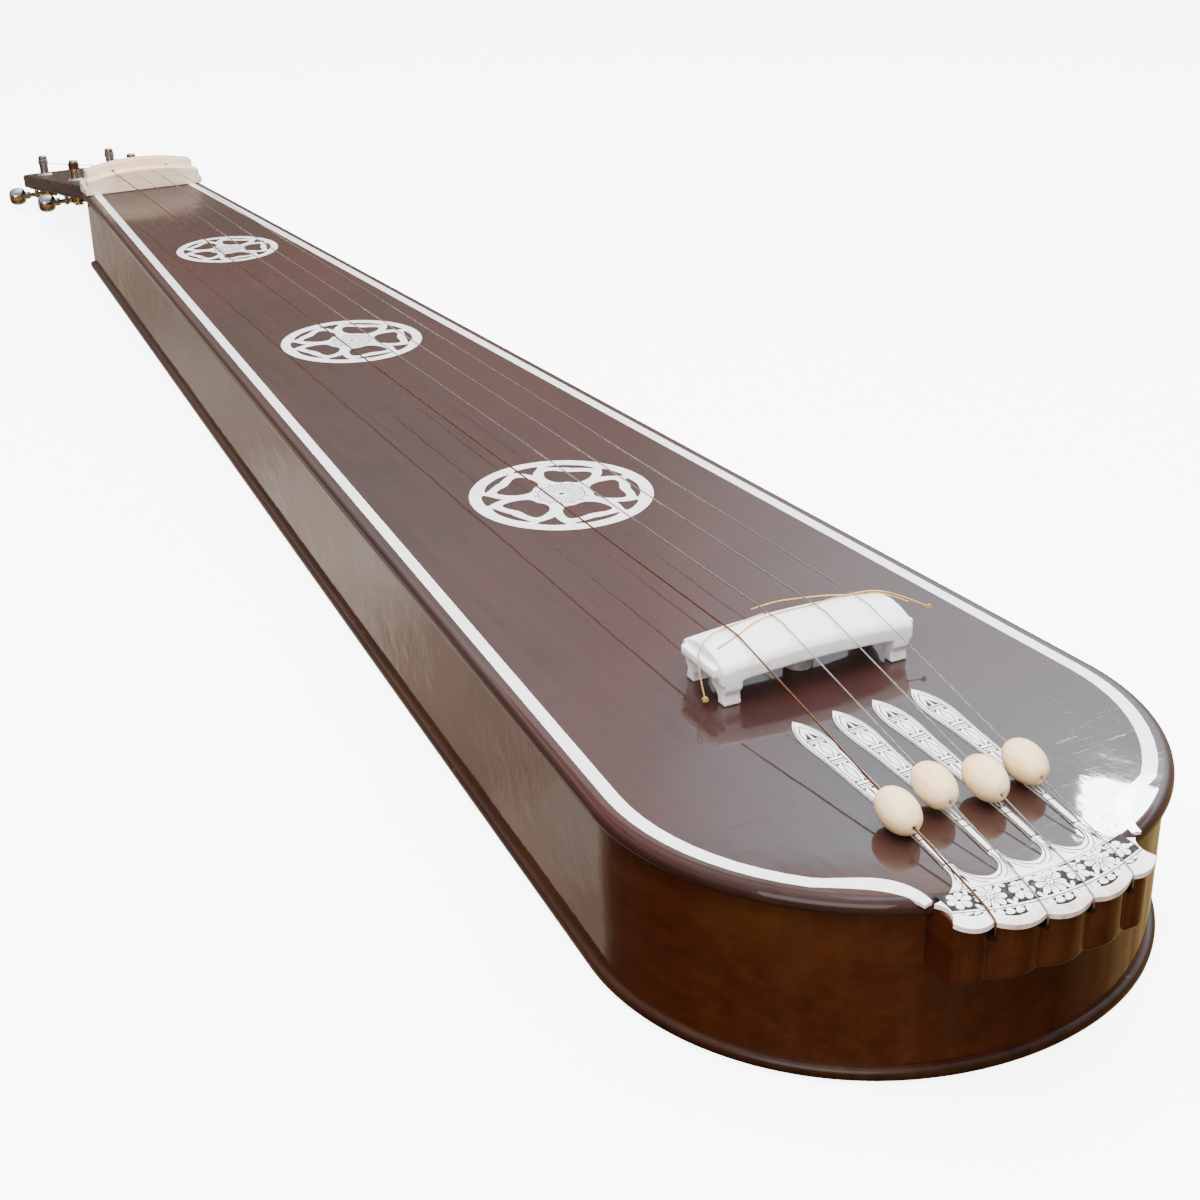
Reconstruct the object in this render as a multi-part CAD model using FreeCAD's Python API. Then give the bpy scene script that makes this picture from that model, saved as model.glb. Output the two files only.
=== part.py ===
"""A four-string travel tanpura: a long flat tapered box with a drone string set, lying on its back.

The model is drawn in a "face frame": x across, y from the tail edge towards the head, z up from the
flat playing face (z = 0).  The box is a little shallower at the head, so the playing face is not
parallel to the back.  seat() turns the finished pieces so that the back lies level on z = 0, with
the origin under the middle of the instrument.  All sizes are in millimetres.
"""
import FreeCAD, Part
import math
import os

V = FreeCAD.Vector
Rotation = FreeCAD.Rotation
Placement = FreeCAD.Placement

# ---- soundbox -------------------------------------------------------------------------------
BODY_LENGTH = 900.0
TAIL_DEPTH = 57.8
HEAD_DEPTH = 49.6
TAPER = math.radians(3.71)            # lean of each long side
CORNER_RADIUS = 83.3                  # the two tail corners
CORNER_X = 4.6
END_RADIUS = 97.2                     # the tail end between the corners
TOP_THICKNESS = 4.5
BACK_THICKNESS = 4.5
RIB_THICKNESS = 3.5
RIM_GROW = 1.0                        # how far each piece stands out from the nominal outline
WALL_GROW = -1.2
LIP_GROW = 1.4
TOP_ROUND = 3.0
LIP_ROUND = 2.0
LINING = 6.0
END_BLOCK = 24.0

# ---- white inlay ----------------------------------------------------------------------------
BAND_INSET = 4.0
BAND_WIDTH = 4.3
INLAY_DEPTH = 1.0
# Outer and inner edges of each band's hooked end; x counts outwards from the centre line.
HOOKS = {
    1: ([(47.4, 20.4), (40.6, 16.0), (37.2, 11.8), (34.6, 5.3)],
        [(32.0, 5.9), (34.4, 14.8), (38.4, 20.1), (46.0, 24.4)]),
    -1: ([(49.4, 20.0), (42.2, 14.4), (38.8, 10.2), (36.7, 4.3)],
         [(33.9, 5.0), (35.0, 13.4), (38.4, 18.6), (45.6, 23.4)]),
}
# name: (sideways place, distance from the tail, radius)
ROSETTES = {"large": (4.7, 296.7, 35.5), "middle": (2.7, 520.5, 33.5), "small": (1.7, 716.0, 28.0)}
ROSETTE_LEAN = -15.0                  # degrees, direction of one petal
PETALS = 5

# ---- strings --------------------------------------------------------------------------------
STRINGS = 4
STRING_RADIUS = [0.32, 0.24, 0.24, 0.2]
NOTCH_PITCH = 14.8                    # spacing at the tailpiece
BRIDGE_PITCH = 15.8
NUT_PITCH = 11.4
BRIDGE_SHIFT = 5.5                    # the bridge stands a little right of the centre line
CREST_Y = 1.0                         # where the strings run over the tailpiece
STRING_CLEAR = 0.35                   # clear height over the tailpiece
NUT_STRING_Z = 11.8

# ---- tailpiece ------------------------------------------------------------------------------
PLATE_SHIFT = -2.0                    # the plate sits a little left of the centre line
PLATE_HALF_WIDTH = 32.6
PLATE_PROUD = 0.4
PLATE_THICKNESS = 1.3
PLATE_BEND = 0.104                    # slope and curl of the overhanging edge
PLATE_CURL = 0.0142
LOBE_Y = -12.1                        # both before they follow the curve of the tail end
NOTCH_Y = -10.4
HEEL_Y = -4.8
EAR_Y = 3.2
BOWL_Y = 7.0
NECK_Y = 15.4
NECK_HALF = 1.4
FINGER_TIP_Y = 100.5
FINGER_LEAN = 6.0                     # sideways run of each finger from neck to tip
FINGER_HALVES = [(1.4, 15.4), (1.5, 32.0), (2.5, 50.0), (3.2, 62.0), (3.8, 77.0), (4.2, 88.0), (3.3, 94.0)]
NECK_PITCH = 14.3
NECK_SHIFT = 0.4
FLUTE_FOOT = -20.4                    # lowest point of the fluted block
PIN_Z = -6.4

# ---- bridge ---------------------------------------------------------------------------------
BRIDGE_Y = 130.0
BRIDGE_LENGTH = 69.0
BRIDGE_DEPTH = 25.0
BRIDGE_HEIGHT = 18.2
BRIDGE_TABLE = 9.0
BRIDGE_END_DROP = 1.8
BRIDGE_EDGE_DROP = 3.4
BRIDGE_SHEET = 6.0                    # thickness of each pair of legs
EAR_REACH = 2.0                       # small shelf at each end
BRIDGE_ARCH = ((BRIDGE_LENGTH / 2) ** 2 + BRIDGE_END_DROP ** 2) / (2 * BRIDGE_END_DROP)
JIVA_RADIUS = 0.22
JIVA_LIFT = 0.14                      # clear height of a thread over the table
STRING_LIFT = 0.7                     # clear height of the strings over the table
STRING_TOUCH = (-3.0, 1.0)            # where each string meets and leaves the crown

# ---- nut ------------------------------------------------------------------------------------
NUT_HALF_WIDTH = 37.0
NUT_FRONT_Y = 884.0
NUT_STEP_Y = 892.0
NUT_FRONT_HEIGHT = 13.0
NUT_BACK_HEIGHT = 17.8
NUT_ARCH = 4.0

# ---- headstock and machine heads ------------------------------------------------------------
HEADSTOCK_TILT = 8.2                  # degrees
HEADSTOCK_LENGTH = 207.0
HEADSTOCK_THICKNESS = 8.5
HEADSTOCK_ROOT = 27.0                 # half widths
HEADSTOCK_END = 35.5
POST_ROWS = [(95.0, 19.8), (179.0, 23.7)]   # (distance from the body, half the spacing)
POST_RADIUS = 3.0
POST_HEIGHT = 13.5
RUNNING_CLEARANCE = 0.05
PLATE_STEEL = 1.2
GEAR_TEETH = 14
WORM_PITCH = 2.5
WORM_ROOT = 1.7
WORM_CREST = 2.9
WORM_DROP = 3.6                       # worm axis below the base plate
WORM_TURNS = 3.0
# The helix starts 1.5 turns below its middle, at the angle that puts a crest opposite the gear's
# centre in the middle of the thread: half a turn on from the -y direction.
WORM_START = -90.0 - 180.0
SHAFT_RADIUS = 1.5
KNOB_REACH = 20.0                     # knob centre beyond the post axis
KNOB_RADIUS = 6.0
KNOB_HALF_LENGTH = 5.6

# ---- tuning beads ---------------------------------------------------------------------------
BEAD_HALF_LENGTH = 8.4
BEAD_RADIUS = 5.6
BEAD_Y = [37.0, 42.0, 39.0, 41.0]

# ---- worked out from the above --------------------------------------------------------------
GEAR_PITCH_RADIUS = GEAR_TEETH * WORM_PITCH / (2 * math.pi)
WORM_OFFSET = GEAR_PITCH_RADIUS + (WORM_ROOT + WORM_CREST) / 2
CORNER_Y = END_RADIUS - math.sqrt((END_RADIUS - CORNER_RADIUS) ** 2 - CORNER_X ** 2)
BACK_SLOPE = math.atan((TAIL_DEPTH - HEAD_DEPTH) / BODY_LENGTH)
HEAD_SEAT = Placement(V(0, BODY_LENGTH, 0), Rotation(V(1, 0, 0), -HEADSTOCK_TILT))
FAR_Y = BODY_LENGTH + HEADSTOCK_LENGTH * math.cos(math.radians(HEADSTOCK_TILT))
MIDDLE_Y = (FAR_Y + LOBE_Y) / 2
SEAT = Placement(V(0, -MIDDLE_Y, TAIL_DEPTH), Rotation(V(1, 0, 0), -math.degrees(BACK_SLOPE)))
DEEP = 80.0                           # longer than the box is deep


# ---- small helpers --------------------------------------------------------------------------
def prism(wires, bottom, top):
    """A solid with flat ends: the first wire is its outline, the others are holes."""
    face = Part.makeFace(wires, "Part::FaceMakerBullseye")
    face.translate(V(0, 0, bottom))
    return face.extrude(V(0, 0, top - bottom))


def smooth(points, closed=False):
    """One smooth edge through the points."""
    curve = Part.BSplineCurve()
    curve.interpolate(Points=[V(*point, 0) for point in points], PeriodicFlag=closed)
    return curve.toShape()


def line(start, end):
    return Part.makeLine(V(*start, 0), V(*end, 0))


def arc(start, middle, end):
    return Part.Arc(V(*start, 0), V(*middle, 0), V(*end, 0)).toShape()


def mirrored(points):
    """The same outline points on the other side of the centre line, in the reverse order."""
    return [(-x, y) for x, y in reversed(points)]


def largest(shape):
    """The biggest solid of a cut shape, without slivers."""
    return max(shape.Solids, key=lambda solid: solid.Volume)


def half_space(side):
    """Everything on one side of the centre line."""
    box = Part.makeBox(200, 1400, 300, V(0, -150, -150))
    return box if side > 0 else box.mirror(V(0, 0, 0), V(1, 0, 0))


def tube(points, radius, reach=0.45):
    """A round tube of straight runs joined by tangent arcs, and the arcs' radii."""
    edges = []
    radii = []
    start = points[0]
    for before, corner, after in zip(points, points[1:], points[2:]):
        inward = (corner - before).normalize()
        outward = (after - corner).normalize()
        half_turn = inward.getAngle(outward) / 2
        set_back = reach * min(corner.distanceToPoint(before), corner.distanceToPoint(after))
        radii.append(set_back / math.tan(half_turn))
        enter = corner - inward * set_back
        leave = corner + outward * set_back
        bisector = (outward - inward).normalize()
        sagitta = radii[-1] * (1 / math.cos(half_turn) - 1)
        edges.append(Part.makeLine(start, enter))
        edges.append(Part.Arc(enter, corner + bisector * sagitta, leave).toShape())
        start = leave
    edges.append(Part.makeLine(start, points[-1]))
    section = Part.Wire([Part.makeCircle(radius, points[0], points[1] - points[0])])
    return Part.Wire(edges).makePipeShell([section], True, False), radii


# ---- outline of the box ---------------------------------------------------------------------
def corner_point(grow, angle):
    """A point of the right tail corner; the angle is counted from +x."""
    radius = CORNER_RADIUS + grow
    return (CORNER_X + radius * math.cos(angle), CORNER_Y + radius * math.sin(angle))


def side_x(grow, y):
    """Half width of the box at a place along its straight side."""
    return CORNER_X + (CORNER_RADIUS + grow - (y - CORNER_Y) * math.sin(TAPER)) / math.cos(TAPER)


CORNER_END = math.atan2(CORNER_Y - END_RADIUS, CORNER_X)


def outline(grow, head_y=BODY_LENGTH):
    """Closed outline of the box, moved outwards by grow."""
    head = (side_x(grow, head_y), head_y)
    tangent = corner_point(grow, TAPER)
    middle = corner_point(grow, (TAPER + CORNER_END) / 2)
    end = corner_point(grow, CORNER_END)
    tail = (0, -grow)
    right = [head, tangent, middle, end]
    left = mirrored(right)
    return Part.Wire([
        line(head, tangent),
        arc(tangent, middle, end),
        arc(end, tail, left[0]),
        arc(left[0], left[1], left[2]),
        line(left[2], left[3]),
        line(left[3], head),
    ])


def back_region(bottom, top):
    """The space between two heights above the level back, in the face frame."""
    box = Part.makeBox(300, 1500, top - bottom, V(-150, -750, bottom))
    box.Placement = SEAT.inverse().multiply(box.Placement)
    return box


def outer_edges(solid, height):
    """Edges of a flat slab at one height, without the straight head end."""
    found = []
    for edge in solid.Edges:
        box = edge.BoundBox
        level = abs(box.ZMin - height) < 0.01 and abs(box.ZMax - height) < 0.01
        if level and box.YMin < BODY_LENGTH - 1:
            found.append(edge)
    return found


# ---- soundbox pieces ------------------------------------------------------------------------
def plain_top():
    slab = prism([outline(RIM_GROW)], -TOP_THICKNESS, 0)
    slab = slab.makeFillet(TOP_ROUND, outer_edges(slab, 0))
    return slab.makeFillet(0.9, outer_edges(slab, -TOP_THICKNESS))


def back_plate():
    slab = prism([outline(LIP_GROW, BODY_LENGTH + LIP_GROW)], 0, BACK_THICKNESS)
    slab = slab.makeFillet(LIP_ROUND, outer_edges(slab, 0) + outer_edges(slab, BACK_THICKNESS))
    slab.translate(V(0, -MIDDLE_Y, 0))
    slab.Placement = SEAT.inverse().multiply(slab.Placement)
    return slab


def wall_ring(outside, inside, top, head_y=BODY_LENGTH):
    """A wall that follows the sides and tail and is open at the head."""
    ring = prism([outline(outside, head_y + 40), outline(inside, head_y + 20)], -DEEP, top)
    return ring.common(Part.makeBox(400, head_y + 50, 200, V(-200, -50, -150)))


def shell_pieces():
    """Ribs and linings, left and right."""
    ribs = wall_ring(WALL_GROW, WALL_GROW - RIB_THICKNESS, -TOP_THICKNESS)
    ribs = ribs.cut(back_region(-DEEP, BACK_THICKNESS))
    inner = WALL_GROW - RIB_THICKNESS
    lining = wall_ring(inner, inner - LINING, -TOP_THICKNESS, BODY_LENGTH - END_BLOCK)
    lining = lining.cut(Part.makeBox(2 * DEEP, END_BLOCK, 200, V(-DEEP, 0, -150)))
    upper = lining.common(Part.makeBox(400, 1200, LINING, V(-200, -100, -TOP_THICKNESS - LINING)))
    lower = lining.common(back_region(BACK_THICKNESS, BACK_THICKNESS + LINING))
    pieces = {}
    for name, side in (("left", -1), ("right", 1)):
        pieces["rib_" + name] = ribs.common(half_space(side))
        pieces["top_lining_" + name] = upper.common(half_space(side))
        pieces["back_lining_" + name] = lower.common(half_space(side))
    return pieces


def cavity_prism():
    """Everything inside the ribs, between the top and the back."""
    inner = WALL_GROW - RIB_THICKNESS
    return prism([outline(inner)], -DEEP, -TOP_THICKNESS).cut(back_region(-DEEP, BACK_THICKNESS))


def end_blocks(cavity):
    head = cavity.common(Part.makeBox(200, END_BLOCK, 100, V(-100, BODY_LENGTH - END_BLOCK, -90)))
    tail = cavity.common(Part.makeBox(2 * DEEP, END_BLOCK, 100, V(-DEEP, 0, -90)))
    return {"head_block": head, "tail_block": tail}


def braces(cavity):
    """Bars across the inside, glued to the top and to the back."""
    clear = prism([outline(WALL_GROW - RIB_THICKNESS - LINING)], -DEEP, 0)
    bars = [Part.makeBox(200, 8, 9, V(-100, y, -TOP_THICKNESS - 9)) for y in (205, 405, 616)]
    top = Part.makeCompound([bar.common(clear) for bar in bars])
    low = back_region(BACK_THICKNESS, BACK_THICKNESS + 7).common(clear)
    bars = [Part.makeBox(200, 12, 90, V(-100, y, -90)) for y in (300, 560)]
    back = Part.makeCompound([bar.common(low) for bar in bars])
    return {"top_braces": top, "back_braces": back}


# ---- inlay ----------------------------------------------------------------------------------
def band(side):
    """White line that follows one long side and hooks in towards the tailpiece."""
    outer = -BAND_INSET
    inner = outer - BAND_WIDTH
    turn = math.radians(-48)
    middle = (TAPER + turn) / 2
    hook_out, hook_in = HOOKS[side]
    hook_out = [corner_point(outer, turn)] + hook_out
    hook_in = hook_in + [corner_point(inner, turn)]
    outer_head = (side_x(outer, BODY_LENGTH), BODY_LENGTH)
    inner_head = (side_x(inner, BODY_LENGTH), BODY_LENGTH)
    wire = Part.Wire([
        line(outer_head, corner_point(outer, TAPER)),
        arc(corner_point(outer, TAPER), corner_point(outer, middle), hook_out[0]),
        smooth(hook_out),
        line(hook_out[-1], hook_in[0]),
        smooth(hook_in),
        arc(hook_in[-1], corner_point(inner, middle), corner_point(inner, TAPER)),
        line(corner_point(inner, TAPER), inner_head),
        line(inner_head, outer_head),
    ])
    piece = prism([wire], -INLAY_DEPTH, 0)
    return piece if side > 0 else piece.mirror(V(0, 0, 0), V(1, 0, 0))


def window(place, turn, polar):
    """A closed opening in a rosette from (share of the radius, degrees) points."""
    x, y, radius = place
    points = []
    for share, degrees in polar:
        angle = math.radians(turn + degrees)
        points.append((x + radius * share * math.cos(angle), y + radius * share * math.sin(angle)))
    return Part.Wire([smooth(points, closed=True)])


def both_sides(half):
    """A symmetric opening from the points on its positive side; the first and last are on the axis."""
    return half + [(share, -degrees) for share, degrees in reversed(half[1:-1])]


PETAL = both_sides([(0.34, 0), (0.355, 19), (0.45, 27), (0.60, 26), (0.70, 21.5), (0.69, 12), (0.65, 0)])
CRESCENT = both_sides([(0.765, 0), (0.785, 10), (0.83, 20), (0.856, 12), (0.862, 0)])
WEDGE = [(0.645, 36), (0.74, 30.5), (0.845, 25.5), (0.866, 36), (0.845, 46.5), (0.74, 41.5)]


def rosette(name):
    x, y, radius = ROSETTES[name]
    wires = [Part.Wire([Part.makeCircle(radius, V(x, y, 0))])]
    for petal in range(PETALS):
        turn = ROSETTE_LEAN + petal * 360 / PETALS
        for opening in (PETAL, CRESCENT, WEDGE):
            wires.append(window(ROSETTES[name], turn, opening))
    return prism(wires, -INLAY_DEPTH, 0)


# ---- tailpiece ------------------------------------------------------------------------------
def string_x(pitch, index, shift=0.0):
    return shift + (index - (STRINGS - 1) / 2) * pitch


def notch_x(index):
    return string_x(NOTCH_PITCH, index, PLATE_SHIFT)


def neck_x(index):
    return string_x(NECK_PITCH, index, NECK_SHIFT)


def tail_curve(x):
    """How far the tail end has curved back at a place across the plate."""
    return (x - PLATE_SHIFT) ** 2 / (2 * END_RADIUS)


def lobes():
    """Free edge of the plate from left to right: five lobes between four string notches."""
    heel = PLATE_HALF_WIDTH
    stops = [(PLATE_SHIFT - heel, HEEL_Y)]
    stops += [(notch_x(index), NOTCH_Y + tail_curve(notch_x(index))) for index in range(STRINGS)]
    stops += [(PLATE_SHIFT + heel, HEEL_Y)]
    edges = []
    for start, end in zip(stops, stops[1:]):
        middle = (start[0] + end[0]) / 2
        edges.append(arc(start, (middle, LOBE_Y + tail_curve(middle)), end))
    return edges


def bowls():
    """Edge of the plate between the necks, from the right neck to the left."""
    edges = []
    half = NECK_HALF
    for index in (3, 2, 1, 0):
        left = (neck_x(index) - half, NECK_Y)
        edges.append(line((neck_x(index) + half, NECK_Y), left))
        if index:
            right = (neck_x(index - 1) + half, NECK_Y)
            middle = (left[0] + right[0]) / 2
            edges.append(smooth([left, (left[0] - 0.3, 11.6), (left[0] - 2.8, 8.2), (middle, BOWL_Y),
                                 (right[0] + 2.8, 8.2), (right[0] + 0.3, 11.6), right]))
    return edges


def plate_outline():
    """The engraved plate seen from above: necks, ears and five lobes."""
    left = PLATE_SHIFT - PLATE_HALF_WIDTH
    right = PLATE_SHIFT + PLATE_HALF_WIDTH
    neck = neck_x(3) + NECK_HALF
    edges = lobes()
    edges.append(smooth([(right, HEEL_Y), (right - 1.8, -0.6), (right, EAR_Y)]))
    edges.append(smooth([(right, EAR_Y), (27.4, 4.9), (25.0, 7.8), (neck + 0.5, 12.0), (neck, NECK_Y)]))
    edges += bowls()
    neck = neck_x(0) - NECK_HALF
    edges.append(smooth([(neck, NECK_Y), (neck - 0.6, 12.0), (-25.4, 8.0), (-28.8, 5.2), (left, EAR_Y)]))
    edges.append(smooth([(left, EAR_Y), (left + 1.8, -0.6), (left, HEEL_Y)]))
    return Part.Wire(edges)


def plate_top(y):
    """Height of the plate's upper surface, which bends down past the rim."""
    past = max(0, CREST_Y - y)
    return PLATE_PROUD - PLATE_BEND * past - PLATE_CURL * past ** 2


def bent_lines():
    """Upper and lower lines of the plate from the side, and where the flat inlay begins."""
    upper = [(y, plate_top(y)) for y in (CREST_Y, -4.5, LOBE_Y - 2)]
    lower = [(y + 0.3, z - PLATE_THICKNESS) for y, z in upper]
    inner = (CREST_Y + 6, -INLAY_DEPTH)
    return upper, lower, inner


def across(edges, half=50):
    """Extrude a side view, drawn as (y, z), across the instrument."""
    slab = Part.Face(Part.Wire(edges)).extrude(V(0, 0, 2 * half))
    slab.Placement = Placement(V(-half, 0, 0), Rotation(V(1, 1, 1), 120))
    return slab


def bent_slab():
    """The plate's thickness: flat over the face, then bent down past the rim."""
    upper, lower, inner = bent_lines()
    return across([
        smooth(upper),
        line(upper[-1], lower[-1]),
        smooth(lower),
        line(lower[0], inner),
        line(inner, (30, -INLAY_DEPTH)),
        line((30, -INLAY_DEPTH), (30, PLATE_PROUD)),
        line((30, PLATE_PROUD), upper[0]),
    ])


def over_plate():
    """Everything above the plate's underside."""
    _, lower, inner = bent_lines()
    return across([
        smooth(lower),
        line(lower[-1], (-30, lower[-1][1])),
        line((-30, lower[-1][1]), (-30, 30)),
        line((-30, 30), (30, 30)),
        line((30, 30), (30, -INLAY_DEPTH)),
        line((30, -INLAY_DEPTH), inner),
        line(inner, lower[0]),
    ])


def tailpiece_plate():
    return prism([plate_outline()], -20, 10).common(bent_slab())


def finger(index):
    """One long engraved finger that points at the bridge."""
    foot = neck_x(index)
    left = []
    right = []
    for half, y in FINGER_HALVES:
        share = (y - NECK_Y) / (FINGER_TIP_Y - NECK_Y)
        centre = foot + FINGER_LEAN * math.sin(math.radians(90) * share)
        left.append((centre - half, y))
        right.append((centre + half, y))
    tip = (foot + FINGER_LEAN, FINGER_TIP_Y)
    wire = Part.Wire([smooth(left + [tip]), smooth([tip] + right[::-1]), line(right[0], left[0])])
    return prism([wire], -INLAY_DEPTH, PLATE_PROUD)


def fluted_block(top):
    """Five upright flutes on the tail wall that carry the plate's overhang."""
    heel = PLATE_HALF_WIDTH - 1.0
    across_block = [PLATE_SHIFT - heel] + [notch_x(index) for index in range(STRINGS)] + [PLATE_SHIFT + heel]
    grooves = [(x, NOTCH_Y + 1.5 + tail_curve(x)) for x in across_block]
    edges = []
    for left, right in zip(grooves, grooves[1:]):
        middle = (left[0] + right[0]) / 2
        edges.append(arc(left, (middle, LOBE_Y + 1.5 + tail_curve(middle)), right))
    back = [(grooves[-1][0], 20), (grooves[0][0], 20)]
    edges += [line(grooves[-1], back[0]), line(back[0], back[1]), line(back[1], grooves[0])]
    block = prism([Part.Wire(edges)], FLUTE_FOOT, 0)
    block = block.cut(prism([outline(WALL_GROW)], -DEEP, 10))
    return largest(block.cut([top, over_plate()]))


def pin_place(index):
    x = notch_x(index)
    return V(x, NOTCH_Y + tail_curve(x) - 0.6, PIN_Z)


def hitch_pins():
    """Short brass pins in the grooves that hold the strings' looped ends."""
    pins = [Part.makeCylinder(0.9, 18, pin_place(index), V(0, 1, 0)) for index in range(STRINGS)]
    return Part.makeCompound(pins)


# ---- bridge ---------------------------------------------------------------------------------
def bridge_top(x, y):
    """Height of the bridge's rounded table at a point, used for what lies on it."""
    across = (x - BRIDGE_SHIFT) / (BRIDGE_LENGTH / 2)
    along = (y - BRIDGE_Y) / (BRIDGE_DEPTH / 2)
    return BRIDGE_HEIGHT - BRIDGE_END_DROP * across ** 2 - BRIDGE_EDGE_DROP * along ** 2


def bridge_table():
    """Table with a crown along the strings, swept round a wide arch across them."""
    half = BRIDGE_DEPTH / 2
    low = BRIDGE_HEIGHT - BRIDGE_TABLE
    shoulder = BRIDGE_HEIGHT - BRIDGE_EDGE_DROP
    corners = [(-half, low), (-half, shoulder - 1.2), (-half + 1.0, shoulder + 0.4)]
    far = [(-y, z) for y, z in reversed(corners)]
    wire = Part.Wire([
        line(corners[0], corners[1]),
        line(corners[1], corners[2]),
        arc(corners[2], (0, BRIDGE_HEIGHT), far[0]),
        line(far[0], far[1]),
        line(far[1], far[2]),
        line(far[2], corners[0]),
    ])
    section = Part.Face(wire)
    section.Placement = Placement(V(0, 0, 0), Rotation(V(1, 1, 1), 120))
    hub = V(0, 0, BRIDGE_HEIGHT - BRIDGE_ARCH)
    section.rotate(hub, V(0, 1, 0), -7)
    swept = section.revolve(hub, V(0, 1, 0), 14)
    span = Part.makeBox(BRIDGE_LENGTH, 2 * BRIDGE_DEPTH, 60, V(-BRIDGE_LENGTH / 2, -BRIDGE_DEPTH, -20))
    return swept.common(span)


def bridge_legs(side):
    """A pair of legs at one end of the bridge with a carved arch between them."""
    half = BRIDGE_DEPTH / 2
    top = BRIDGE_HEIGHT - BRIDGE_TABLE + 2
    inner = [(half - 5.0, 0), (half - 6.2, 3.4), (half - 8.6, 4.6), (2.2, 6.6), (0, 7.6)]
    arch = inner + [(-y, z) for y, z in reversed(inner[:-1])]
    wire = Part.Wire([
        line((-half, top), (-half, 5.5)),
        line((-half, 5.5), (-half + 1.4, 3.6)),
        line((-half + 1.4, 3.6), (-half + 0.8, 0)),
        line((-half + 0.8, 0), (-half + 5.0, 0)),
        smooth(arch[::-1]),
        line((half - 5.0, 0), (half - 0.8, 0)),
        line((half - 0.8, 0), (half - 1.4, 3.6)),
        line((half - 1.4, 3.6), (half, 5.5)),
        line((half, 5.5), (half, top)),
        line((half, top), (-half, top)),
    ])
    sheet = Part.Face(wire).extrude(V(0, 0, BRIDGE_SHEET))
    start = BRIDGE_LENGTH / 2 - BRIDGE_SHEET - 1.0 if side > 0 else -BRIDGE_LENGTH / 2 + 1.0
    sheet.Placement = Placement(V(start, 0, 0), Rotation(V(1, 1, 1), 120))
    ear = Part.makeBox(EAR_REACH + 0.2, BRIDGE_DEPTH * 0.8, 3.2)
    ear_start = BRIDGE_LENGTH / 2 - 0.2 if side > 0 else -BRIDGE_LENGTH / 2 - EAR_REACH
    ear.translate(V(ear_start, -BRIDGE_DEPTH * 0.4, 9.6))
    return sheet.fuse(ear)


def bridge():
    body = bridge_table().fuse([bridge_legs(-1), bridge_legs(1)]).removeSplitter()
    body.translate(V(BRIDGE_SHIFT, BRIDGE_Y, 0))
    return body


def bridge_foot():
    """Round dowel under the middle of the bridge."""
    height = BRIDGE_HEIGHT - BRIDGE_TABLE - 0.1
    return Part.makeCylinder(4.8, height, V(BRIDGE_SHIFT + 1.5, BRIDGE_Y + 2, 0))


# ---- nut ------------------------------------------------------------------------------------
def arched_block(half, height, front, back, step):
    """A bar across the head with an arched top and stepped ends."""
    end = height - NUT_ARCH
    wire = Part.Wire([
        line((-half, 0), (-half, end * 0.45)),
        line((-half, end * 0.45), (-half + step, end * 0.6)),
        line((-half + step, end * 0.6), (-half + step, end)),
        arc((-half + step, end), (0, height), (half - step, end)),
        line((half - step, end), (half - step, end * 0.6)),
        line((half - step, end * 0.6), (half, end * 0.45)),
        line((half, end * 0.45), (half, 0)),
        line((half, 0), (-half, 0)),
    ])
    bar = Part.Face(wire).extrude(V(0, 0, back - front))
    bar.Placement = Placement(V(0, back, 0), Rotation(V(1, 0, 0), 90))
    return bar


def nut_pieces():
    front = arched_block(NUT_HALF_WIDTH, NUT_FRONT_HEIGHT, NUT_FRONT_Y, NUT_STEP_Y, 1.6)
    back = arched_block(NUT_HALF_WIDTH, NUT_BACK_HEIGHT, NUT_STEP_Y, BODY_LENGTH, 3.4)
    for index in range(STRINGS):
        x = string_x(NUT_PITCH, index)
        slot = STRING_RADIUS[index] + 0.05
        base = NUT_STRING_Z - STRING_RADIUS[index]
        front = front.cut(Part.makeBox(2 * slot, 30, 10, V(x - slot, NUT_FRONT_Y - 5, base)))
        back = back.cut(Part.makeCylinder(0.9, 30, V(x, NUT_STEP_Y - 5, NUT_STRING_Z), V(0, 1, 0)))
    return {"nut_front": front, "nut_back": back}


# ---- headstock ------------------------------------------------------------------------------
def tuners():
    """(number, side, distance along the headstock, sideways place) of each machine head."""
    near, far = POST_ROWS
    places = [(near, -1), (far, -1), (far, 1), (near, 1)]
    return [(i + 1, side, row[0], side * row[1]) for i, (row, side) in enumerate(places)]


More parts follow.
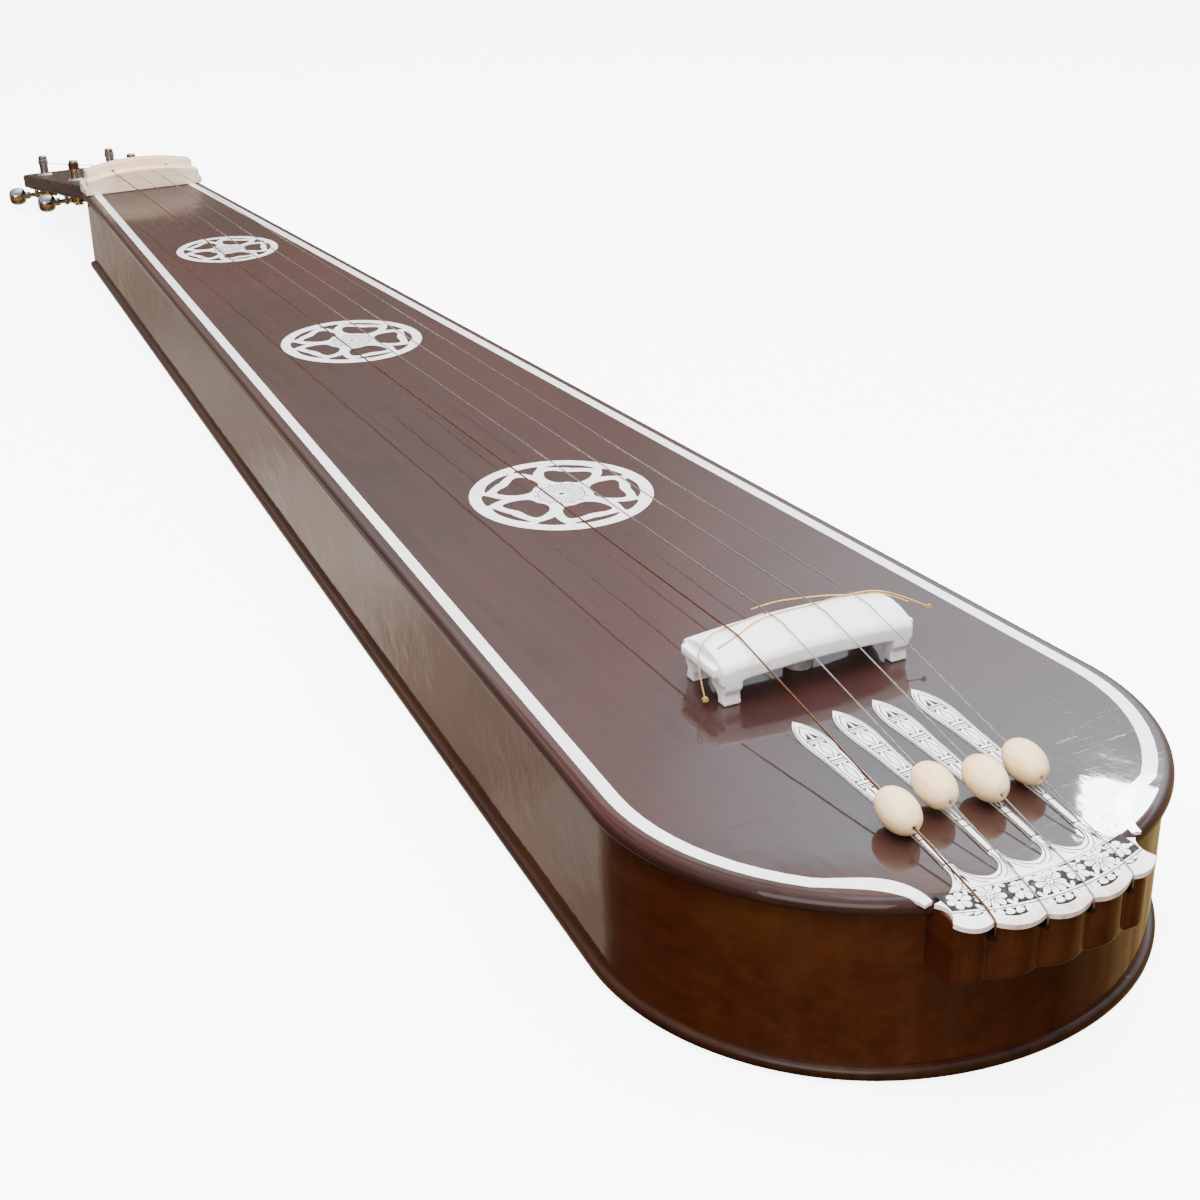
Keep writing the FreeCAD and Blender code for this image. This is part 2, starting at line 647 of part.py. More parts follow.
def headstock():
    """Thin tilted slab with a heel that is glued to the head end of the box."""
    root = (HEADSTOCK_ROOT, 0)
    shoulder = (HEADSTOCK_END, HEADSTOCK_LENGTH - 8)
    bend = (HEADSTOCK_END - 2, HEADSTOCK_LENGTH - 3)
    corner = (HEADSTOCK_END - 7, HEADSTOCK_LENGTH - 1)
    left = mirrored([shoulder, bend, corner])
    wire = Part.Wire([
        line((-root[0], -6), (root[0], -6)),
        line((root[0], -6), shoulder),
        arc(shoulder, bend, corner),
        arc(corner, (0, HEADSTOCK_LENGTH), left[0]),
        arc(left[0], left[1], left[2]),
        line(left[2], (-root[0], -6)),
    ])
    slab = prism([wire], -HEADSTOCK_THICKNESS, 0)
    for _, _, along, x in tuners():
        slab = slab.cut(Part.makeCylinder(4.2, 30, V(x, along, -20)))
    slab.Placement = HEAD_SEAT
    heel = Part.Wire([
        line((BODY_LENGTH - 1, -4), (BODY_LENGTH + 34, -10)),
        arc((BODY_LENGTH + 34, -10), (BODY_LENGTH + 12, -17), (BODY_LENGTH, -34)),
        line((BODY_LENGTH, -34), (BODY_LENGTH - 1, -34)),
        line((BODY_LENGTH - 1, -34), (BODY_LENGTH - 1, -4)),
    ])
    wedge = Part.Face(heel).extrude(V(0, 0, 2 * HEADSTOCK_ROOT - 6))
    wedge.Placement = Placement(V(-HEADSTOCK_ROOT + 3, 0, 0), Rotation(V(1, 1, 1), 120))
    behind = Part.makeBox(200, 300, 200, V(-100, BODY_LENGTH, -150))
    return slab.fuse(wedge).common(behind).removeSplitter()


def machine_plate(side, along, x):
    """Steel base plate with two ears that carry the worm."""
    top = -HEADSTOCK_THICKNESS
    plate = Part.makeBox(17, 34, PLATE_STEEL, V(-8.0, -11.5, top - PLATE_STEEL))
    plate = plate.makeFillet(2.0, [edge for edge in plate.Edges if edge.BoundBox.ZLength > 1])
    axis = V(0, WORM_OFFSET, top - PLATE_STEEL - WORM_DROP)
    for left in (-7.4, 5.6):
        ear = Part.makeBox(1.8, 5.6, WORM_DROP + 2.4 + 0.2, V(left, WORM_OFFSET - 2.8, axis.z - 2.4))
        plate = plate.fuse(ear)
    bore = SHAFT_RADIUS + RUNNING_CLEARANCE
    plate = plate.cut(Part.makeCylinder(bore, 40, V(-20, axis.y, axis.z), V(1, 0, 0)))
    plate = plate.cut(Part.makeCylinder(POST_RADIUS + 0.3, 10, V(0, 0, top - 5)))
    for y in (-8.8, 19.6):
        plate = plate.cut(Part.makeCylinder(1.0, 10, V(0, y, top - 5)))
    if side < 0:
        plate = plate.mirror(V(0, 0, 0), V(1, 0, 0))
    plate.translate(V(x, along, 0))
    return plate


def plate_screw(along, x):
    """Dome-headed wood screw through the base plate into the headstock."""
    under = -HEADSTOCK_THICKNESS - PLATE_STEEL
    head = Part.makeSphere(2.2, V(x, along, under + 1.0))
    head = head.common(Part.makeBox(6, 6, 3, V(x - 3, along - 3, under - 3)))
    return head.fuse(Part.makeCylinder(0.95, 7.2, V(x, along, under - 0.2)))


def bushing(along, x):
    """Flanged collar that the post turns in."""
    collar = Part.makeCone(5.6, 4.4, 1.4, V(x, along, 0))
    collar = collar.fuse(Part.makeCylinder(4.2, 7.5, V(x, along, -7.0)))
    return collar.cut(Part.makeCylinder(POST_RADIUS + RUNNING_CLEARANCE, 30, V(x, along, -15)))


def post(along, x, turn):
    """String post with a cross hole, a waist and a stub that carries the gear."""
    low = -HEADSTOCK_THICKNESS - PLATE_STEEL - 0.3
    shaft = Part.makeCylinder(POST_RADIUS, POST_HEIGHT - low - 0.8, V(x, along, low))
    shaft = shaft.fuse(Part.makeCone(POST_RADIUS, POST_RADIUS - 0.8, 0.8, V(x, along, POST_HEIGHT - 0.8)))
    shaft = shaft.fuse(Part.makeCylinder(2.2, 5.3, V(x, along, low - 5.2)))
    hole = Part.makeCylinder(0.7, 20, V(-10, 0, POST_HEIGHT - 4.0), V(1, 0, 0))
    hole.rotate(V(0, 0, 0), V(0, 0, 1), turn)
    hole.translate(V(x, along, 0))
    return shaft.cut(hole)


def gear(along, x):
    """Brass wheel whose tooth gap faces the worm."""
    centre = -HEADSTOCK_THICKNESS - PLATE_STEEL - WORM_DROP
    depth = (WORM_CREST - WORM_ROOT) / 2
    root = GEAR_PITCH_RADIUS - depth - 0.25
    crest = GEAR_PITCH_RADIUS + depth - 0.2
    points = []
    for tooth in range(GEAR_TEETH):
        middle = math.radians(90) + (tooth + 0.5) * 2 * math.pi / GEAR_TEETH
        for radius, half in ((root, 0.62), (crest, 0.32), (crest, -0.32), (root, -0.62)):
            angle = middle - half / radius
            points.append(V(radius * math.cos(angle), radius * math.sin(angle), 0))
    wheel = prism([Part.makePolygon(points + points[:1])], centre - 1.2, centre + 1.2)
    wheel = wheel.fuse(Part.makeCylinder(4.0, 2.3, V(0, 0, centre + 1.0)))
    wheel = wheel.cut(Part.makeCylinder(2.2, 20, V(0, 0, centre - 10)))
    wheel.translate(V(x, along, 0))
    return wheel


def gear_screw(along, x):
    """Slotted screw that clamps the gear to the post."""
    top = -HEADSTOCK_THICKNESS - PLATE_STEEL - WORM_DROP - 1.9
    head = Part.makeCylinder(3.0, 1.2, V(x, along, top - 1.2))
    return head.cut(Part.makeBox(8, 0.7, 0.5, V(x - 4, along - 0.35, top - 1.25)))


def worm(side, along, x):
    """Steel shaft with a right-handed thread between the two ears."""
    axis = V(x, along + WORM_OFFSET, -HEADSTOCK_THICKNESS - PLATE_STEEL - WORM_DROP)
    length = WORM_PITCH * WORM_TURNS
    helix = Part.makeHelix(WORM_PITCH, length, WORM_ROOT)
    tooth = [V(WORM_ROOT - 0.3, 0, -0.62), V(WORM_CREST, 0, -0.3),
             V(WORM_CREST, 0, 0.3), V(WORM_ROOT - 0.3, 0, 0.62)]
    section = Part.makePolygon(tooth + tooth[:1])
    thread = Part.Wire(helix).makePipeShell([section], True, True)
    thread.translate(V(0, 0, -length / 2))
    core = Part.makeCylinder(WORM_ROOT, 10.6, V(0, 0, -5.3))
    screw = core.fuse(thread)
    inner = -7.9 if side > 0 else -KNOB_REACH - 1
    outer = KNOB_REACH + 1 if side > 0 else 7.9
    shaft = Part.makeCylinder(SHAFT_RADIUS, outer - inner, V(0, 0, inner))
    screw = screw.fuse(shaft)
    screw.rotate(V(0, 0, 0), V(0, 0, 1), WORM_START)
    screw.rotate(V(0, 0, 0), V(0, 1, 0), 90)
    screw.translate(axis)
    return screw


def knob(side, along, x):
    """Oval button with a collar, pinned on the end of the worm shaft."""
    half = KNOB_HALF_LENGTH
    root = -half - 3.0
    seat_end = 1.3
    button = [(2.6, -half), (4.6, -half + 1.0), (KNOB_RADIUS, 0), (4.8, half - 1.2), (3.0, half)]
    profile = Part.Wire([
        line((SHAFT_RADIUS, root), (2.6, root)),
        line((2.6, root), button[0]),
        smooth(button),
        line(button[-1], (0, half)),
        line((0, half), (0, seat_end)),
        line((0, seat_end), (SHAFT_RADIUS, seat_end)),
        line((SHAFT_RADIUS, seat_end), (SHAFT_RADIUS, root)),
    ])
    turned = Part.Face(profile).revolve(V(0, 0, 0), V(0, 1, 0), 360)
    turned.rotate(V(0, 0, 0), V(0, 0, 1), -90 * side)
    axis_z = -HEADSTOCK_THICKNESS - PLATE_STEEL - WORM_DROP
    turned.translate(V(x + side * KNOB_REACH, along + WORM_OFFSET, axis_z))
    return turned


def machine_heads():
    """Every piece of the four tuners, moved onto the tilted headstock."""
    nodes = {}
    plates = []
    bushings = []
    screws = []
    for number, side, along, x in tuners():
        plates.append(machine_plate(side, along, x))
        bushings.append(bushing(along, x))
        screws += [plate_screw(along - 8.8, x), plate_screw(along + 19.6, x)]
        nodes["tuner_post_%d" % number] = post(along, x, 60 * side)
        nodes["tuner_gear_%d" % number] = gear(along, x)
        nodes["gear_screw_%d" % number] = gear_screw(along, x)
        nodes["tuner_worm_%d" % number] = worm(side, along, x)
        nodes["tuner_knob_%d" % number] = knob(side, along, x)
    nodes["tuner_plates"] = Part.makeCompound(plates)
    nodes["post_bushings"] = Part.makeCompound(bushings)
    nodes["plate_screws"] = Part.makeCompound(screws)
    for shape in nodes.values():
        shape.Placement = HEAD_SEAT.multiply(shape.Placement)
    return nodes


# ---- strings and beads ----------------------------------------------------------------------
def along_string(index, y):
    """Sideways place of a string between the tailpiece and the bridge."""
    start = notch_x(index)
    end = string_x(BRIDGE_PITCH, index, BRIDGE_SHIFT)
    return start + (y - NOTCH_Y) / (BRIDGE_Y - NOTCH_Y) * (end - start)


def over_tail(index, y):
    """A point where the string lies over the tailpiece."""
    return V(along_string(index, y), y, plate_top(y) + STRING_CLEAR + STRING_RADIUS[index])


def crest_point(index):
    return over_tail(index, CREST_Y)


def bridge_point(index, touch=STRING_TOUCH[0]):
    x = string_x(BRIDGE_PITCH, index, BRIDGE_SHIFT)
    y = BRIDGE_Y + touch
    return V(x, y, bridge_top(x, y) + STRING_LIFT + STRING_RADIUS[index])


def post_side(index):
    """Where a string meets its post, on the inner side, and the post's centre at that height."""
    _, side, along, x = tuners()[index]
    height = POST_HEIGHT - 5.4
    centre = HEAD_SEAT.multVec(V(x, along, height))
    meeting = HEAD_SEAT.multVec(V(x - side * (POST_RADIUS + 0.35 + STRING_RADIUS[index]), along, height))
    return meeting, centre


def string_route(index):
    """Hitch pin, groove, over the plate, bridge, nut, and the inner side of the post."""
    pin = pin_place(index)
    notch = NOTCH_Y + tail_curve(pin.x)
    low = V(pin.x, pin.y, pin.z + 0.95)
    over = V(pin.x, pin.y, plate_top(notch) + 0.3)
    nut_x = string_x(NUT_PITCH, index)
    front = V(nut_x, NUT_FRONT_Y, NUT_STRING_Z)
    back = V(nut_x, BODY_LENGTH + 0.5, NUT_STRING_Z)
    tail = [low, over, over_tail(index, -3.5), crest_point(index)]
    crown = [bridge_point(index, touch) for touch in STRING_TOUCH]
    return tail + crown + [front, back, post_side(index)[0]]


def string(index):
    """A taut string with the turns round its post drawn as one sleeve."""
    radius = STRING_RADIUS[index]
    wire, _ = tube(string_route(index), radius, 0.12)
    _, centre = post_side(index)
    normal = HEAD_SEAT.Rotation.multVec(V(0, 0, 1))
    bore = POST_RADIUS + 0.35
    start = centre - normal * 1.6
    sleeve = Part.makeCylinder(bore + 2 * radius, 2.2, start, normal)
    sleeve = sleeve.cut(Part.makeCylinder(bore, 4, start - normal, normal))
    return wire.fuse(sleeve)


def bead_centre(index):
    """Middle of a bead, on the straight run between the tailpiece and the bridge."""
    start = crest_point(index)
    end = bridge_point(index)
    return start + (end - start) * ((BEAD_Y[index] - start.y) / (end.y - start.y))


def bead(index):
    """Egg-shaped bead bored along its length for the string."""
    bore = STRING_RADIUS[index] + 0.08
    end = BEAD_HALF_LENGTH * math.sqrt(1 - (bore / BEAD_RADIUS) ** 2)
    angle = math.asin(end / BEAD_HALF_LENGTH)
    oval = Part.Ellipse(V(0, BEAD_HALF_LENGTH, 0), V(BEAD_RADIUS, 0, 0), V(0, 0, 0))
    shape = oval.toShape()
    section = Part.Face(Part.Wire([shape]))
    keep = Part.makeBox(BEAD_RADIUS + 1, 4 * end, 2, V(bore, -2 * end, -1))
    section = section.common(keep).Faces[0]
    egg = section.revolve(V(0, 0, 0), V(0, 1, 0), 360)
    run = bridge_point(index) - crest_point(index)
    egg.Placement = Placement(bead_centre(index), Rotation(V(0, 1, 0), run))
    return egg


# ---- jiva threads: short free cords on the bridge -------------------------------------------
def off_bridge(x, y, z):
    """A point counted from the middle of the bridge's foot."""
    return V(BRIDGE_SHIFT + x, BRIDGE_Y + y, z)


def on_bridge(x, y, lift=JIVA_LIFT):
    """A thread point that rests on the rounded table."""
    point = off_bridge(x, y, 0)
    point.z = bridge_top(point.x, point.y) + JIVA_RADIUS + lift
    return point


def jiva_routes():
    """Hand-laid routes, each from its knotted or cut end."""
    return {
        "jiva_left": [
            off_bridge(-37.8, -7.6, 2.0), off_bridge(-38.2, -5.0, 8.5), off_bridge(-37.4, -2.0, 16.2),
            on_bridge(-31.6, 1.5, 1.3), on_bridge(-24.0, 5.0, 0.3), on_bridge(-15.5, 6.8, 0.3),
            on_bridge(-7.4, 9.2, 0.3),
        ],
        "jiva_long": [
            on_bridge(-32.0, -4.6), on_bridge(-24.0, -2.4), on_bridge(-14.5, 3.0, 0.3),
            on_bridge(-5.0, 5.2, 0.3), on_bridge(6.0, 4.4, 0.3), on_bridge(16.0, 7.2, 0.3),
            on_bridge(25.0, 9.6, 0.5), on_bridge(33.0, 6.4, 1.2), off_bridge(39.6, 1.0, 15.6),
            off_bridge(45.4, -5.4, 13.0),
        ],
        "jiva_right": [
            on_bridge(-8.0, 15.4, 2.6), on_bridge(0.0, 15.4, 3.4), on_bridge(9.0, 12.6, 2.2),
            on_bridge(17.5, 8.2, 1.5), on_bridge(25.0, 5.0, 0.5), on_bridge(33.0, 2.8, 1.3),
            off_bridge(39.5, -2.6, 15.0),
        ],
    }


def jiva_threads():
    threads = {}
    for name, route in jiva_routes().items():
        solid, radii = tube(route, JIVA_RADIUS)
        length = solid.Volume / (math.pi * JIVA_RADIUS ** 2)
        print(name, "length %.1f mm, radii" % length, ["%.1f" % radius for radius in radii])
        threads[name] = solid
    return threads


# ---- assembly -------------------------------------------------------------------------------
def build():
    nodes = {}
    cavity = cavity_prism()
    inlays = {"inlay_band_left": band(-1), "inlay_band_right": band(1)}
    for name in ROSETTES:
        inlays["rosette_" + name] = rosette(name)
    inlays["tailpiece_plate"] = tailpiece_plate()
    inlays["tailpiece_fingers"] = Part.makeCompound([finger(index) for index in range(STRINGS)])
    top = plain_top().cut(list(inlays.values()))
    nodes["top_plate"] = top
    nodes["back_plate"] = back_plate()
    nodes.update(shell_pieces())
    nodes.update(end_blocks(cavity))
    nodes.update(braces(cavity))
    nodes.update(inlays)
    nodes["fluted_block"] = fluted_block(top)
    nodes["hitch_pins"] = hitch_pins()
    nodes["bridge"] = bridge()
    nodes["bridge_foot"] = bridge_foot()
    nodes.update(nut_pieces())
    nodes["headstock"] = headstock()
    nodes.update(machine_heads())
    for index in range(STRINGS):
        nodes["string_%d" % (index + 1)] = string(index)
        nodes["bead_%d" % (index + 1)] = bead(index)
    nodes.update(jiva_threads())
    for name in ("fluted_block", "tail_block", "rib_left", "rib_right"):
        nodes[name] = nodes[name].cut(nodes["hitch_pins"])
    nodes["headstock"] = nodes["headstock"].cut(nodes["plate_screws"])
    return nodes


def seat(shape):
    """From the face frame to the level back."""
    placed = shape.copy()
    placed.Placement = SEAT.multiply(placed.Placement)
    return placed


def main():
    os.makedirs("parts", exist_ok=True)
    for name, shape in build().items():
        placed = seat(shape)
        placed.exportStep("parts/%s.step" % name)
        solids = len(placed.Solids)
        print("%-22s solids %d valid %s volume %.1f" % (name, solids, placed.isValid(), placed.Volume))


main()
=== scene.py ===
"""Looks for the four-string travel tanpura.

Shapes are drawn in the same face frame as the part's source: millimetres, x across, y from the tail
edge towards the head, z up from the flat playing face.  SEAT carries them onto the level back, in
metres.
"""
import math

import bpy
from mathutils import Matrix, Vector


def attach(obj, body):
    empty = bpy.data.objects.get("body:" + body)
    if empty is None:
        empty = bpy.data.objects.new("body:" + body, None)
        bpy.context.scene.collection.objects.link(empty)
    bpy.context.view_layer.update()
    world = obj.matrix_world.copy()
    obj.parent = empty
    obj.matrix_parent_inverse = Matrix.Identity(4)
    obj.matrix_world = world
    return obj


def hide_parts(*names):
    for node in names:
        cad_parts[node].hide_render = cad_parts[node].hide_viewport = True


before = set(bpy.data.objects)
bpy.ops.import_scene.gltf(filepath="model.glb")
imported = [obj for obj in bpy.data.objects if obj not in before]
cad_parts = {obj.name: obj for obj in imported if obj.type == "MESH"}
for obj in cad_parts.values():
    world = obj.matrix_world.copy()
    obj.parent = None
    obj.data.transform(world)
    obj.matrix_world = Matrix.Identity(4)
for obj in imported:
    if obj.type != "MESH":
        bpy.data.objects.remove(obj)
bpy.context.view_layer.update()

# ---- driving dimensions, in millimetres -----------------------------------------------------
BODY_LENGTH = 900.0
TAIL_DEPTH = 57.8
HEAD_DEPTH = 49.6
TAPER = math.radians(3.71)
CORNER_RADIUS = 83.3
CORNER_X = 4.6
END_RADIUS = 97.2
TOP_THICKNESS = 4.5
BACK_THICKNESS = 4.5
RIB_THICKNESS = 3.5
RIM_GROW = 1.0
WALL_GROW = -1.2
LIP_GROW = 1.4
TOP_ROUND = 3.0
LIP_ROUND = 2.0
TOP_SINK = 0.05                       # the lacquered top lies this far under the inlays

STRINGS = 4
STRING_RADIUS = [0.32, 0.24, 0.24, 0.2]
NOTCH_PITCH = 14.8
BRIDGE_PITCH = 15.8
NUT_PITCH = 11.4
PLATE_SHIFT = -2.0
BRIDGE_SHIFT = 5.5
NUT_FRONT_Y = 884.0
NUT_STRING_Z = 11.8
STRING_CLEAR = 0.35
CREST_Y = 1.0
NOTCH_Y = -10.4
PIN_SETBACK = 0.6                     # a string leaves its pin this far outside its notch's foot
STRING_FOOT_Z = -5.4                  # a string starts here, on its hitch pin

PLATE_HALF_WIDTH = 32.6
PLATE_PROUD = 0.4
PLATE_BEND = 0.104
PLATE_CURL = 0.0142
NECK_Y = 15.4
NECK_PITCH = 14.3
NECK_SHIFT = 0.4
FINGER_TIP_Y = 100.5
FINGER_LEAN = 6.0
# half width of a finger and the y it is found at, from neck to tip
FINGER_HALVES = [(1.4, 15.4), (1.5, 32.0), (2.5, 50.0), (3.2, 62.0), (3.8, 77.0), (4.2, 88.0),
                 (3.3, 94.0), (0.0, 100.5)]

BRIDGE_Y = 130.0
BRIDGE_LENGTH = 69.0
BRIDGE_DEPTH = 25.0
BRIDGE_HEIGHT = 18.2
BRIDGE_END_DROP = 1.8
BRIDGE_EDGE_DROP = 3.4
JIVA_RADIUS = 0.22
JIVA_LIFT = 0.14

HEADSTOCK_TILT = 8.2
HEADSTOCK_LENGTH = 207.0
POST_ROWS = [(95.0, 19.8), (179.0, 23.7)]         # distance from the nut, and half the row's width
POST_RADIUS = 3.0
POST_HEIGHT = 13.5
BEAD_HALF_LENGTH = 8.4
BEAD_RADIUS = 5.6
BEAD_Y = [37.0, 42.0, 39.0, 41.0]
LOBE_Y = -12.1
ROSETTES = {"large": (4.7, 296.7, 35.5), "middle": (2.7, 520.5, 33.5),
            "small": (1.7, 716.0, 28.0)}          # x, y and radius of each round inlay
FLOWER_X = [-28.2, -20.0, -10.8, -2.2, 6.7, 15.0, 23.0]
INK_LIFT = 0.03                       # each layer of engraving lies this far above the one below

# ---- worked out from the above --------------------------------------------------------------
CORNER_Y = END_RADIUS - math.sqrt((END_RADIUS - CORNER_RADIUS) ** 2 - CORNER_X ** 2)
CORNER_END = math.atan2(CORNER_Y - END_RADIUS, CORNER_X)
SLOPE = math.atan((TAIL_DEPTH - HEAD_DEPTH) / BODY_LENGTH)
FAR_Y = BODY_LENGTH + HEADSTOCK_LENGTH * math.cos(math.radians(HEADSTOCK_TILT))
MIDDLE_Y = (FAR_Y + LOBE_Y) / 2
MM = Matrix.Scale(0.001, 4)
SEAT = MM @ Matrix.Translation((0, -MIDDLE_Y, TAIL_DEPTH)) @ Matrix.Rotation(-SLOPE, 4, "X")
LEVEL = MM @ Matrix.Translation((0, -MIDDLE_Y, 0))
HEAD_SEAT = (Matrix.Translation((0, BODY_LENGTH, 0))
             @ Matrix.Rotation(-math.radians(HEADSTOCK_TILT), 4, "X"))
BODY = "tanpura"


# ---- camera ---------------------------------------------------------------------------------
EYE = Vector((-289.5, -318.3, 276.4))
AIM = Vector((-26.0, 204.4, 0.0))
ROLL = math.radians(0.97)
LENS = 57.33


def add_camera():
    """A camera low over the tail's left corner, in the face frame."""
    forward = (AIM - EYE).normalized()
    right = Matrix.Rotation(ROLL, 3, forward) @ forward.cross(Vector((0, 0, 1))).normalized()
    up = right.cross(forward)
    turn = Matrix((right, up, -forward)).transposed()
    data = bpy.data.cameras.new("camera")
    data.sensor_width = 36.0
    data.lens = LENS
    camera = bpy.data.objects.new("camera", data)
    bpy.context.scene.collection.objects.link(camera)
    seat_turn = Matrix.Rotation(-SLOPE, 3, "X")
    camera.matrix_world = Matrix.Translation(SEAT @ EYE) @ (seat_turn @ turn).to_4x4()
    bpy.context.scene.camera = camera


# ---- shader helper --------------------------------------------------------------------------
# places of the colour sockets on a Mix node
MIX_SHARE = 0
MIX_FIRST = 6
MIX_SECOND = 7
MIX_COLOUR = 2


def fill_ramp(node, stops):
    """Gives a colour ramp its (position, colour) stops."""
    points = node.color_ramp.elements
    while len(points) < len(stops):
        points.new(0.5)
    for point, (position, colour) in zip(points, stops):
        point.position = position
        point.color = (*colour, 1.0)


class Shader:
    """One procedural material; each method adds a node and returns its output."""

    def __init__(self, name, **constants):
        self.material = bpy.data.materials.new(name)
        self.material.use_nodes = True
        self.tree = self.material.node_tree
        self.surface = self.tree.nodes["Principled BSDF"]
        self.place = self.tree.nodes.new("ShaderNodeTexCoord").outputs["Object"]
        for socket, value in constants.items():
            self.surface.inputs[socket.replace("_", " ")].default_value = value

    def put(self, socket, value):
        """Links a node's output to a socket, or sets the socket to a plain value."""
        if isinstance(value, bpy.types.NodeSocket):
            self.tree.links.new(value, socket)
        else:
            socket.default_value = value

    def set(self, name, value):
        self.put(self.surface.inputs[name], value)

    def stretched(self, stretch):
        """The object's own coordinates, scaled along each axis."""
        node = self.tree.nodes.new("ShaderNodeMapping")
        self.put(node.inputs["Vector"], self.place)
        node.inputs["Scale"].default_value = stretch
        return node.outputs["Vector"]

    def noise(self, scale, detail=3.0, stretch=(1, 1, 1), rough=0.5, twist=0.0):
        node = self.tree.nodes.new("ShaderNodeTexNoise")
        self.put(node.inputs["Vector"], self.stretched(stretch))
        node.inputs["Scale"].default_value = scale
        node.inputs["Detail"].default_value = detail
        node.inputs["Roughness"].default_value = rough
        node.inputs["Distortion"].default_value = twist
        return node.outputs["Fac"]

    def cells(self, scale):
        """The distance to the nearest of many scattered points."""
        node = self.tree.nodes.new("ShaderNodeTexVoronoi")
        self.put(node.inputs["Vector"], self.stretched((1, 1, 1)))
        node.inputs["Scale"].default_value = scale
        return node.outputs["Distance"]

    def axis(self, letter):
        node = self.tree.nodes.new("ShaderNodeSeparateXYZ")
        self.put(node.inputs[0], self.place)
        return node.outputs[letter]

    def span(self, value, low, high, to_low=0.0, to_high=1.0):
        """A value's range low..high carried onto to_low..to_high, and held at its ends."""
        node = self.tree.nodes.new("ShaderNodeMapRange")
        self.put(node.inputs["Value"], value)
        node.inputs["From Min"].default_value = low
        node.inputs["From Max"].default_value = high
        node.inputs["To Min"].default_value = to_low
        node.inputs["To Max"].default_value = to_high
        return node.outputs["Result"]

    def math(self, operation, first, second):
        node = self.tree.nodes.new("ShaderNodeMath")
        node.operation = operation
        self.put(node.inputs[0], first)
        self.put(node.inputs[1], second)
        return node.outputs["Value"]

    def ramp(self, value, stops):
        node = self.tree.nodes.new("ShaderNodeValToRGB")
        self.put(node.inputs["Fac"], value)
        fill_ramp(node, stops)
        return node.outputs["Color"]

    def mix(self, share, first, second):
        """A blend of two colours, each a plain (r, g, b) or a node's output."""
        node = self.tree.nodes.new("ShaderNodeMix")
        node.data_type = "RGBA"
        self.put(node.inputs[MIX_SHARE], share)
        for socket, colour in ((MIX_FIRST, first), (MIX_SECOND, second)):
            plain = isinstance(colour, tuple)
            self.put(node.inputs[socket], (*colour, 1.0) if plain else colour)
        return node.outputs[MIX_COLOUR]

    def bump(self, height, depth, strength=1.0, under=None):
        node = self.tree.nodes.new("ShaderNodeBump")
        self.put(node.inputs["Height"], height)
        node.inputs["Distance"].default_value = depth
        node.inputs["Strength"].default_value = strength
        if under is not None:
            self.put(node.inputs["Normal"], under)
        return node.outputs["Normal"]


# ---- materials ------------------------------------------------------------------------------
def lacquer_top():
    """Dark red-brown wood under thick gloss lacquer, with swirls, specks and fine scratches.

    The gloss fades towards the head, where only a soft sheen is wanted.
    """
    s = Shader("lacquer_top", Roughness=0.5, Specular_IOR_Level=0.2, Coat_Weight=1.0, Coat_IOR=1.4)
    grain = s.noise(240, 6, (1, 0.035, 1), 0.6, 0.3)
    wood = s.ramp(grain, [(0.3, (0.0125, 0.0056, 0.0050)), (0.55, (0.0210, 0.0096, 0.0086)),
                          (0.75, (0.030, 0.0142, 0.0122))])
    cloud = s.noise(9, 3)
    redder = s.mix(s.span(cloud, 0.35, 0.7), wood, (0.034, 0.0100, 0.0082))
    pores = s.span(s.noise(1500, 2, (1, 0.04, 1)), 0.62, 0.72)
    s.set("Base Color", s.mix(s.math("MULTIPLY", pores, 0.5), redder, (0.008, 0.002, 0.002)))
    haze = s.noise(55, 4, (1, 1, 1), 0.65)
    scratch = s.span(s.noise(900, 2, (0.05, 1, 1), 0.5, 1.5), 0.66, 0.7, 0.0, 0.12)
    dull = s.span(s.axis("Y"), 0.24, 0.335, 0.0, 0.5)
    gloss = s.math("ADD", s.span(haze, 0.35, 0.8, 0.02, 0.05), scratch)
    s.set("Coat Roughness", s.math("ADD", gloss, dull))
    swell = s.bump(s.noise(16, 2), 0.0012, 0.22)
    peel = s.bump(s.noise(90, 3, (1, 0.6, 1)), 0.0001, 0.4, swell)
    grit = s.bump(s.span(s.cells(420), 0.0, 0.12, 1.0, 0.0), 0.00004, 0.6, peel)
    s.set("Coat Normal", grit)
    s.set("Normal", peel)
    return s.material


def lacquer_side():
    """Brown lacquer on the walls: warmer, and wavier than the top."""
    s = Shader("lacquer_side", Roughness=0.5, Specular_IOR_Level=0.15, Coat_Weight=1.0, Coat_IOR=1.5)
    grain = s.noise(200, 6, (1, 0.03, 1), 0.62, 0.4)
    wood = s.ramp(grain, [(0.3, (0.032, 0.0064, 0.0018)), (0.55, (0.050, 0.0112, 0.0030)),
                          (0.78, (0.070, 0.018, 0.0042))])
    cloud = s.noise(14, 4, (1, 0.6, 1), 0.55)
    s.set("Base Color", s.mix(s.span(cloud, 0.5, 0.8), wood, (0.092, 0.030, 0.006)))
    s.set("Coat Roughness", s.span(s.noise(70, 4), 0.35, 0.75, 0.02, 0.09))
    swell = s.bump(s.noise(18, 3, (1, 0.7, 1)), 0.0014, 0.5)
    peel = s.bump(s.noise(160, 3), 0.00012, 0.5, swell)
    s.set("Coat Normal", peel)
    s.set("Normal", swell)
    return s.material


